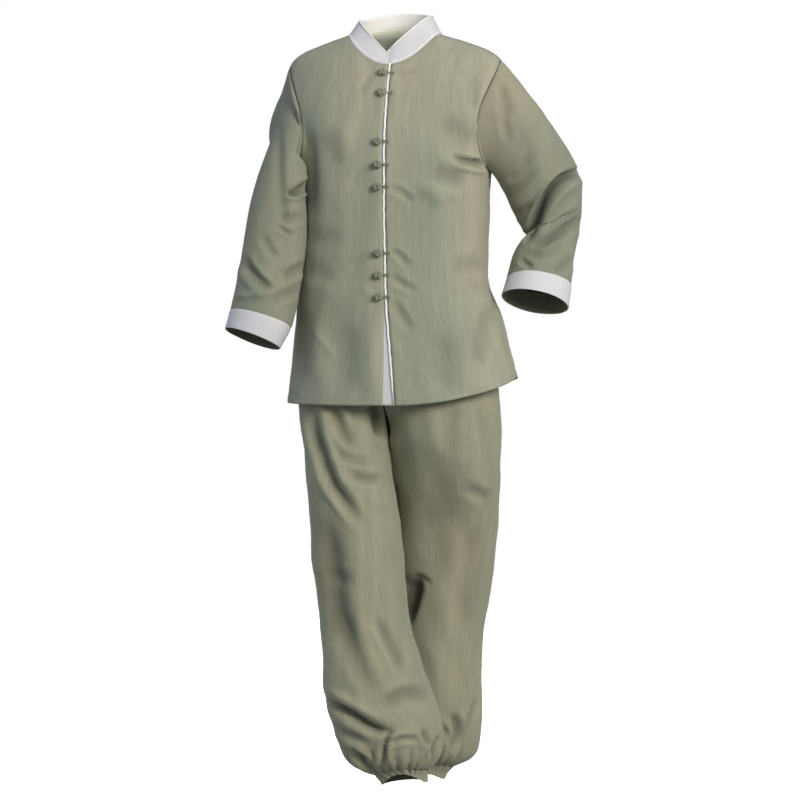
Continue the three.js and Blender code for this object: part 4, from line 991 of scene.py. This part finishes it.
# Near-black core of each knot: painted shadow between the cord's lobes
KNOT_SHADE_CORE = woven("knot_core_painted_shade", (0.03, 0.03, 0.02), (0.05, 0.05, 0.04), 0.03, 0.3)
THREAD = woven("stitching", (0.2, 0.205, 0.15), (0.25, 0.26, 0.2), 0.03, 0.2)
JACKET_LAYERS = [JACKET_CLOTH, JACKET_INSIDE]
TROUSER_LAYERS = [TROUSER_CLOTH, SHADED_INSIDE]


# Meshes


def add_mesh(name, points, faces, materials):
    mesh = bpy.data.meshes.new(name)
    mesh.from_pydata((np.asarray(points).reshape(-1, 3) * MM).tolist(), [], faces)
    for material in materials:
        mesh.materials.append(material)
    mesh.shade_smooth()
    piece = bpy.data.objects.new(name, mesh)
    bpy.context.scene.collection.objects.link(piece)
    return piece


def add_uvs(piece, uvs):
    layer = piece.data.uv_layers.new(name="UVMap")
    layer.data.foreach_set("uv", np.asarray(uvs, float).ravel())


def grid_piece(name, grid, wrap, outward, materials):
    """A mesh through a grid of points, facing outward, with its threads along its edges."""
    rows, columns = grid.shape[:2]
    closed = np.concatenate([grid, grid[:, :1]], 1) if wrap else grid
    index = np.arange(rows * columns).reshape(rows, columns)
    index = np.concatenate([index, index[:, :1]], 1) if wrap else index

    def corners(values):
        quads = [values[:-1, :-1], values[:-1, 1:], values[1:, 1:], values[1:, :-1]]
        stacked = np.stack(quads if outward > 0 else quads[::-1], 2)
        return stacked.reshape(-1, 4, *values.shape[2:])

    row_run, column_run = runs(closed)
    middle = row_run[:, row_run.shape[1] // 2, None]
    uv = np.stack([row_run - middle, column_run], -1) * MM
    piece = add_mesh(name, grid, corners(index).tolist(), materials)
    add_uvs(piece, corners(uv))
    return piece


def thicken(piece, wall, rounding=0.0, rim=0):
    """Gives a piece its wall, on its inner side, and rounds the wall's edges."""
    solidify = piece.modifiers.new("wall", "SOLIDIFY")
    solidify.thickness = wall * MM
    solidify.offset = -1
    solidify.material_offset = len(piece.data.materials) - 1
    solidify.material_offset_rim = rim
    if rounding:
        bevel = piece.modifiers.new("edges", "BEVEL")
        bevel.width = rounding * MM
        bevel.segments = 2
        bevel.limit_method = "ANGLE"
        bevel.angle_limit = math.radians(50)


def tucked(grid, end, along, inward):
    """A grid with one row more at its start or end, which runs on under the piece beside it."""
    row, beside = (grid[0], grid[1]) if end == "start" else (grid[-1], grid[-2])
    hidden = row + along * unit(row - beside) - inward * unit(row - row.mean(axis=0))
    return np.concatenate([hidden[None], grid] if end == "start" else [grid, hidden[None]])


def settle(piece, slot, *nodes):
    """A finished piece rides on the uniform and stands for its solids."""
    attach(piece, "root")
    if nodes:
        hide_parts(*nodes)


def tube(path, radius, sides=8, closed=False):
    """Points and faces of a round cord along a path."""
    path = np.asarray(path, float)
    tangent = unit(np.roll(path, -1, 0) - np.roll(path, 1, 0) if closed else np.gradient(path, axis=0))
    normal = unit(np.cross(tangent[0], [0.3, 1, 0.2]))
    rings = []
    for point, direction in zip(path, tangent):
        normal = unit(normal - direction * (normal @ direction))
        binormal = np.cross(direction, normal)
        turn = 2 * math.pi * np.arange(sides)[:, None] / sides
        rings.append(point + radius * (np.cos(turn) * normal + np.sin(turn) * binormal))
    count = len(path)
    faces = []
    for r in range(count if closed else count - 1):
        for s in range(sides):
            a, b = r * sides + s, r * sides + (s + 1) % sides
            c, d = ((r + 1) % count) * sides + (s + 1) % sides, ((r + 1) % count) * sides + s
            faces.append((a, b, c, d))
    if not closed:
        faces.append(tuple(range(sides))[::-1])
        faces.append(tuple((count - 1) * sides + s for s in range(sides)))
    return np.concatenate(rings), faces


def joined(parts):
    """One list of points and faces from several."""
    points, faces = [], []
    base = 0
    for part_points, part_faces in parts:
        points.append(part_points)
        faces += [tuple(base + i for i in face) for face in part_faces]
        base += len(part_points)
    return np.concatenate(points), faces


# Flat sizes of the cloth in metres, with the cut's area in square metres
Cut = namedtuple("Cut", "width length area held rests_on")


def sheet_piece(
    node, grid, wrap, outward, materials, slot, wall=CLOTH_WALL, rounding=0.0, rim=0, folds=None,
):
    """The cloth that stands for a node, with its wall, and with the given crease depths kept as a field."""
    piece = grid_piece(f"{node}_cloth", grid, wrap, outward, materials)
    if folds is not None:
        field = piece.data.attributes.new(FOLD_FIELD, "FLOAT", "POINT")
        field.data.foreach_set("value", folds.ravel())
    thicken(piece, wall, rounding, rim)
    settle(piece, slot, node)


# The jacket

jacket_edges = {"bottom": SEAM, "end": SEAM, "top": HEM_FOLD, "start": OPEN_EDGE}
front_creases = {RIGHT: RIGHT_FRONT_CREASES, LEFT: LEFT_FRONT_CREASES}
surfaces = {}
for side, name in ((RIGHT, "jacket_front_right"), (LEFT, "jacket_front_left")):
    surfaces[name], folds = drape(
        front_grid(side), False, side, jacket_edges, seed=10 + side, front=front_creases[side],
    )
    sheet_piece(name, surfaces[name], False, side, JACKET_LAYERS, "cloth", folds=folds)
back_edges = {"start": SEAM, "end": SEAM, "bottom": SEAM, "top": HEM_FOLD}
surfaces["jacket_back"], folds = drape(
    back_grid(), False, -1, back_edges, seed=14, back=BACK_CREASES,
)
sheet_piece(
    "jacket_back", surfaces["jacket_back"], False, -1, JACKET_LAYERS, "cloth", folds=folds,
)

PIPING_RISE = 1.6
PIPING_WOBBLE = 0.35
UNDERFLAP_REACH = 2
CROWN_DROP = 0.6


def edge_strip(start, end, rise, columns):
    """A strip down the opening, between its two edges and as high in its middle as its rise."""
    z = front_grid(LEFT)[:, 0, 2]
    share = np.linspace(0, 1, columns)
    x = lerp(start(z)[:, None], end(z)[:, None], share)
    grid = body_point(x, z[:, None] + 0 * x, FRONT)
    crown = 1 - (2 * share - 1) ** 2 * CROWN_DROP
    return grid + (rise * crown)[:, None] * grid_normals(grid, False, 1)


def piping_end(z):
    return left_edge(z) - SEAM_GAP


def piping_start(z):
    return piping_end(z) - PIPING


def underflap_start(z):
    return right_edge(z) - UNDERFLAP_TUCK


def underflap_end(z):
    return left_edge(z) + UNDERFLAP_REACH


piping = edge_strip(piping_start, piping_end, PIPING_RISE, 7)
wobble = PIPING_WOBBLE * np.sin(piping[..., 2] / 4.1 + 2 * np.sin(piping[..., 2] / 23))
piping[..., 0] += wobble * smoothstep(-piping[..., 2], 60, 100)
sheet_piece("front_piping", piping, False, 1, [PIPING_CLOTH], "trim", wall=2, rounding=0.5)
underflap = edge_strip(underflap_start, underflap_end, -UNDERFLAP_DEPTH, 9)
sheet_piece("underflap", underflap, False, 1, [TRIM], "trim", wall=1.2)


def collar_angles():
    """Angles round the neck from the wearer's right front edge, past the back, to the piping."""
    half = sample(BODY_RINGS, "z", NECK_SIDE_Z)["half"]

    def angle_at(x):
        return math.asin(float(x) / half)

    def quarter(start, end):
        return lerp(start, end, np.arange(NECK_COLUMNS) / NECK_COLUMNS)

    first, last = angle_at(right_edge(NECK_FRONT_Z)), angle_at(left_edge(NECK_FRONT_Z))
    side = math.pi / 2
    finish = [angle_at(piping_start(NECK_FRONT_Z))]
    right = [quarter(first, -side), quarter(-side, -math.pi)]
    left = [quarter(math.pi, side), quarter(side, last)]
    return np.concatenate([*right, *left, finish])


def collar_grid(rows=16):
    angle = collar_angles()
    neck_x, neck_z = neckline_place(np.abs(angle))
    face = np.where(np.abs(angle) > math.pi / 2, BACK, FRONT)
    bottom = body_point(np.sign(angle) * neck_x, neck_z + 2 * SEAM_GAP, face)
    facing = np.cos(angle)
    top = COLLAR_TOP
    depth = np.where(facing > 0, top["front_depth"], top["back_depth"])
    side_z = np.where(np.sin(angle) > 0, top["left_z"], top["right_z"])
    front_z = np.where(np.sin(angle) > 0, top["left_front_z"], top["right_front_z"])
    front_half = lerp(front_z, side_z, np.abs(np.sin(angle)))
    edge_z = np.where(facing > 0, front_half, lerp(side_z, top["back_z"], facing**2))
    edge = np.stack([top["half_width"] * np.sin(angle), -depth * facing, edge_z], -1)
    share = np.linspace(0, 1, rows)[:, None, None]
    return lerp(bottom, edge, share)


COLLAR_ROLL = 3.2
COLLAR_RISE = 0.8
TRIM_ROUNDING = 0.7
# How far an end runs on under the next piece, and how far inside it
COLLAR_TUCK = dict(along=4, inward=1.4)
SLEEVE_TUCK = dict(along=3, inward=2.6)
CASING_TUCK = dict(along=4, inward=3)
collar_form = collar_grid()
collar_normals = grid_normals(collar_form, False, -1)
collar_down = edge_fields(collar_form)
collar_rise = np.zeros(collar_form.shape[:2])
for edge in ("top", "bottom"):
    collar_rise += COLLAR_RISE * np.exp(-((collar_down[edge][0] / COLLAR_ROLL) ** 4))
collar_rise += ripples(collar_form, seed=31, amplitude=0.5, length=70)
collar = collar_form + collar_rise[..., None] * collar_normals
sheet_piece(
    "collar", tucked(collar, "start", **COLLAR_TUCK), False, -1, [TRIM, PIPING_CLOTH], "trim",
    wall=TRIM_WALL, rounding=TRIM_ROUNDING, rim=1,
)

# Sleeves and cuffs

sleeve_edges = {"top": SLEEVE_SEAM, "bottom": SEAM}
sleeve_creases = {RIGHT: RIGHT_SLEEVE_CREASES, LEFT: LEFT_SLEEVE_CREASES}
for side, name in SIDE_NAMES.items():
    sleeve, folds = drape(
        tucked(sleeve_grid(side), "end", **SLEEVE_TUCK), True, -side, sleeve_edges, seed=20 + side,
        front=sleeve_creases[side], back=SLEEVE_BACK_CREASES, ripple=0.5, gain=1.15,
    )
    sheet_piece(
        f"sleeve_{name}", sleeve, True, -side, [SHADED_SLEEVE_CLOTH, SHADED_INSIDE], "cloth", folds=folds,
    )
    cuff_form = cuff_grid(side)
    cuff_rise = ripples(cuff_form, seed=26 + side, amplitude=0.7, length=60)
    cuff_rise = cuff_rise + edge_shift(cuff_form, {"top": CUFF_SEAM}, seed=27)[0]
    cuff = cuff_form + cuff_rise[..., None] * grid_normals(cuff_form, True, -side)
    sheet_piece(
        f"cuff_{name}", cuff, True, -side, [TRIM, SHADED_INSIDE], "trim",
        wall=TRIM_WALL, rounding=TRIM_ROUNDING,
    )

# Trousers

leg_edges = {"start": SEAM, "end": SEAM, "top": Edge(0, 0), "bottom": Edge(1, 0)}
WAIST_TUCK = 2.5
WAIST_TUCK_Z = (-620, -560)
GATHER_DEPTH = 7
GATHER_FOOT = 20
GATHER_TOP = 22
GATHER_SEED = 40
CASING_WAVE = 2.6
CASING_WAVE_FALL = 0.8
CASING_SEAM = 0.12
for side, side_name in SIDE_NAMES.items():
    ankle = {key: column[-1] for key, column in LEGS[side].items()}
    for face, face_name in FACE_NAMES.items():
        form = trouser_grid(side, face)
        turn = np.arctan2(
            (form[..., 1] - ankle["y"]) / ankle["half_y"],
            (form[..., 0] - ankle["x"]) / ankle["half_x"],
        )
        above = form[..., 2] - ankle["z"]
        fade = 1 - smoothstep(above, GATHER_TOP, GATHER_HEIGHT)
        swell = lerp(0.5, 1, smoothstep(above, 0, GATHER_FOOT)) * fade
        gathers = GATHER_DEPTH * swell * gather_wave(turn, GATHER_SEED + side)
        tuck = WAIST_TUCK * smoothstep(form[..., 2], *WAIST_TUCK_Z)
        node = f"trouser_{face_name}_{side_name}"
        leg, folds = drape(
            form, False, side * face, leg_edges, seed=30 + side * 2 + face,
            front=LEG_CREASES[side], back=LEG_BACK_CREASES[side], ripple=1, gain=1.35,
            extra=gathers - tuck,
        )
        sheet_piece(node, leg, False, side * face, TROUSER_LAYERS, "cloth", folds=folds)
    casing_form = casing_grid(side)
    turn = 2 * math.pi * np.arange(CASING_COLUMNS) / CASING_COLUMNS
    share = np.linspace(0, 1, CASING_ROWS + 1)[:, None]
    wave = (CASING_WAVE - CASING_WAVE_FALL * share) * gather_wave(turn, GATHER_SEED + side)
    casing_rise = wave - np.exp(-((share / CASING_SEAM) ** 2))
    casing = casing_form + casing_rise[..., None] * grid_normals(casing_form, True, -1)
    sheet_piece(
        f"ankle_casing_{side_name}", tucked(casing, "start", **CASING_TUCK), True, -1,
        TROUSER_LAYERS, "cloth",
    )

WAIST_WAVE = 1.2
WAIST_INSET = 2


def waistband_grid(rows=9, columns=360):
    ring = sample(HIP_RINGS, "z", np.array(WAIST_Z))
    turn = 2 * math.pi * np.arange(columns) / columns
    x = ring["left"] * np.sin(turn)
    depth = np.where(np.cos(turn) > 0, ring["front"], ring["back"])
    y = -np.sign(np.cos(turn)) * ring_depth(x, ring["left"], depth, ring["power"])
    z = lerp(WAIST_Z + WAISTBAND_HEIGHT, WAIST_Z + SEAM_GAP, np.linspace(0, 1, rows))[:, None]
    rise = WAIST_WAVE * gather_wave(turn * 2.6, seed=61) - WAIST_INSET
    grid = np.stack(np.broadcast_arrays(ring["middle"] + x, y, z), -1)
    return grid + rise[:, None] * grid_normals(grid, True, -1)


sheet_piece("trouser_waistband", waistband_grid(), True, -1, TROUSER_LAYERS, "cloth")

# Knot buttons and their loops


def seat_on_front(x, z, rise):
    """Places a piece whose outside is its -Y side on the jacket's front."""
    step = 4
    here = body_point(x, z, FRONT)
    along = unit(body_point(x + step, z, FRONT) - body_point(x - step, z, FRONT))
    up = body_point(x, z + step, FRONT) - body_point(x, z - step, FRONT)
    normal = unit(np.cross(along, up))
    place = here + rise * normal
    axes = np.stack([along, -normal, np.cross(along, -normal)], 1)
    return lambda points: points @ axes.T + place


KNOT_CORD = 2.2
KNOT_TURNS = 2
KNOT_LOBES = 5
KNOT_TWIST = 0.7
LOBE_MIDDLE = 0.68
LOBE_SWING = 0.32
LOBE_BULGE = 0.9
LOBE_FORWARD = 0.4
CORE_REACH = 4.5
CORE_RADIUS = 3
LOOP_SPREAD = 0.3
LOOP_LIFT = 0.6


def knot_parts(turned):
    """A cord wound twice round itself into five lobes, on a round near-black core that is painted shadow in
    the knot's middle.
    """
    t = np.linspace(0, 2 * math.pi * KNOT_TURNS, 120, endpoint=False)
    weave = KNOT_LOBES * t / KNOT_TURNS + turned
    radius = LOBE_MIDDLE + LOBE_SWING * np.cos(weave)
    path = np.stack([
        (KNOT["half_width"] - KNOT_CORD) * radius * np.cos(t + turned),
        (KNOT["half_depth"] - KNOT_CORD + LOBE_BULGE) * np.sin(weave) - LOBE_FORWARD,
        (KNOT["half_height"] - KNOT_CORD) * radius * np.sin(t + turned),
    ], -1)
    steps = np.linspace(-1, 1, 9)
    core = np.stack([CORE_REACH * steps, np.ones(9), np.zeros(9)], -1)
    return [tube(path, KNOT_CORD, closed=True), tube(core, CORE_RADIUS)]


def loop_parts():
    """Two cords that run side by side and turn back at each end."""
    cord = LOOP["thickness"] / 2
    turn = LOOP["height"] / 2 - cord + LOOP_SPREAD
    straight = LOOP["length"] / 2 - turn - cord
    angle = np.linspace(-math.pi / 2, math.pi / 2, 9)
    right = np.stack([straight + turn * np.cos(angle), 0 * angle, turn * np.sin(angle)], -1)
    left = right * np.array([-1, 1, -1])
    return [tube(np.concatenate([right, left]), cord, closed=True)]


for number, (z, x) in enumerate(BUTTONS, start=1):
    seat = seat_on_front(x, z, KNOT["half_depth"] + BUTTON_LIFT)
    cord, core = knot_parts(KNOT_TWIST * number)
    points, faces = joined([cord, core])
    piece = add_mesh(f"button_{number}_knot", seat(points), faces, [CORD, KNOT_SHADE_CORE])
    on_core = [int(i >= len(cord[1])) for i in range(len(faces))]
    piece.data.polygons.foreach_set("material_index", on_core)
    settle(piece, "cord", f"button_{number}")
    loop_x = x + KNOT["half_width"] * KNOT["lobe"] + SEAM_GAP + LOOP["length"] / 2
    seat = seat_on_front(loop_x, z, LOOP_LIFT + BUTTON_LIFT + LOOP["thickness"] / 2)
    points, faces = joined(loop_parts())
    piece = add_mesh(f"loop_{number}_cord", seat(points), faces, [CORD])
    settle(piece, "cord", f"loop_{number}")

# Stitching

STITCH = dict(length=2.8, pitch=4.4, radius=0.32)
COLLAR_CORD = dict(inset=1.2, rise=0.3, radius=0.8)


def stitch_run(name, line, material, slot):
    """A row of short stitches along a line of points and normals."""
    points, normals = line
    step = np.linalg.norm(np.diff(points, axis=0), axis=1)
    run = np.concatenate([[0], np.cumsum(step)])
    starts = np.arange(1, run[-1] - STITCH["length"], STITCH["pitch"])
    parts = []
    for start in starts:
        at = start + STITCH["length"] * np.array([0, 0.25, 0.75, 1])
        path = np.stack([np.interp(at, run, points[:, i]) for i in range(3)], -1)
        raised = np.stack([np.interp(at, run, normals[:, i]) for i in range(3)], -1)
        path += raised * np.array([-0.25, 0.15, 0.15, -0.25])[:, None]
        parts.append(tube(path, STITCH["radius"], sides=5))
    stitches, faces = joined(parts)
    settle(add_mesh(name, stitches, faces, [material]), slot)


def line_at(grid, wrap, outward, edge, distance):
    """The line on a grid at a distance from its top or bottom edge, with the grid's normals."""
    field = edge_fields(grid)[edge][0]
    normals = grid_normals(grid, wrap, outward)
    order = slice(None) if edge == "top" else slice(None, None, -1)
    points, raised = [], []
    for c in range(grid.shape[1]):
        depth = field[order, c]
        points.append([np.interp(distance, depth, grid[order, c, i]) for i in range(3)])
        raised.append([np.interp(distance, depth, normals[order, c, i]) for i in range(3)])
    return np.array(points), np.array(raised)


for name, outward in (("jacket_front_right", RIGHT), ("jacket_front_left", LEFT), ("jacket_back", -1)):
    line = line_at(surfaces[name], False, outward, "top", HEM_WIDTH - HEM_STEP)
    stitch_run(f"{name}_hem_stitches", line, THREAD, "cloth")
for edge in ("top", "bottom"):
    points, normals = line_at(collar, False, -1, edge, COLLAR_CORD["inset"])
    cord, faces = tube(points + COLLAR_CORD["rise"] * normals, COLLAR_CORD["radius"], sides=6)
    settle(add_mesh(f"collar_{edge}_cord", cord, faces, [PIPING_CLOTH]), "trim")

# Stage, light and camera

FLOOR_Z = -1.40
KEY_LIGHT = dict(at=(2.45, -2.75, 0.8), size=1.5, power=124, colour=(1.0, 0.955, 0.87))
FILL_LIGHT = dict(at=(-3.8, -0.6, 0.6), size=2.4, power=22, colour=(0.5, 0.72, 1.0))
LIGHT_TARGET = Vector((0, 0, -0.6))


def add_light(name, at, size, power, colour):
    data = bpy.data.lights.new(name, "AREA")
    data.shape = "DISK"
    data.size = size
    data.energy = power
    data.color = colour
    light = bpy.data.objects.new(name, data)
    light.location = at
    light.rotation_euler = (LIGHT_TARGET - Vector(at)).to_track_quat("-Z", "Y").to_euler()
    bpy.context.scene.collection.objects.link(light)


def add_floor():
    radius, count = 3.2, 96
    turn = 2 * math.pi * np.arange(count) / count
    rim = np.stack([radius * np.cos(turn), radius * np.sin(turn), FLOOR_Z + 0 * turn], -1)
    paint, _ = new_material(
        "floor_paint", Base_Color=(0.86, 0.86, 0.86, 1), Roughness=0.95, Specular_IOR_Level=0,
        Emission_Color=(1, 1, 1, 1), Emission_Strength=1,
    )
    floor = add_mesh("floor", rim / MM, [tuple(range(count))], [paint])
    floor.visible_diffuse = False


def add_world():
    """White round the part for the camera, and for its light brighter above than below."""
    world = bpy.data.worlds.new("studio")
    world.use_nodes = True
    tree = world.node_tree
    tree.nodes.clear()
    direction = tree.nodes.new("ShaderNodeTexCoord").outputs["Generated"]
    split = tree.nodes.new("ShaderNodeSeparateXYZ")
    tree.links.new(direction, split.inputs[0])
    ramp = add_node(
        tree, "ShaderNodeMapRange", From_Min=-0.7, From_Max=0.9, To_Min=0.17, To_Max=0.5,
    )
    tree.links.new(split.outputs["Z"], ramp.inputs["Value"])
    soft = add_node(tree, "ShaderNodeBackground", Color=(0.95, 0.98, 1, 1))
    tree.links.new(ramp.outputs["Result"], soft.inputs["Strength"])
    white = add_node(tree, "ShaderNodeBackground", Color=(1, 1, 1, 1), Strength=1)
    seen = tree.nodes.new("ShaderNodeLightPath").outputs["Is Camera Ray"]
    mix = tree.nodes.new("ShaderNodeMixShader")
    output = tree.nodes.new("ShaderNodeOutputWorld")
    tree.links.new(seen, mix.inputs["Fac"])
    tree.links.new(soft.outputs[0], mix.inputs[1])
    tree.links.new(white.outputs[0], mix.inputs[2])
    tree.links.new(mix.outputs[0], output.inputs["Surface"])
    bpy.context.scene.world = world


def add_camera():
    data = bpy.data.cameras.new("camera")
    data.lens = VIEW_LENS
    data.sensor_width = 36
    camera = bpy.data.objects.new("camera", data)
    back = Vector((
        math.sin(VIEW_TURN) * math.cos(VIEW_RISE),
        -math.cos(VIEW_TURN) * math.cos(VIEW_RISE),
        math.sin(VIEW_RISE),
    ))
    camera.location = Vector(VIEW_TARGET) + back * VIEW_DISTANCE
    camera.rotation_euler = (-back).to_track_quat("-Z", "Y").to_euler()
    bpy.context.scene.collection.objects.link(camera)
    bpy.context.scene.camera = camera


add_floor()
add_world()
add_light("key", **KEY_LIGHT)
add_light("fill", **FILL_LIGHT)
add_camera()
bpy.context.scene.view_settings.view_transform = "Standard"

bpy.context.view_layer.update()
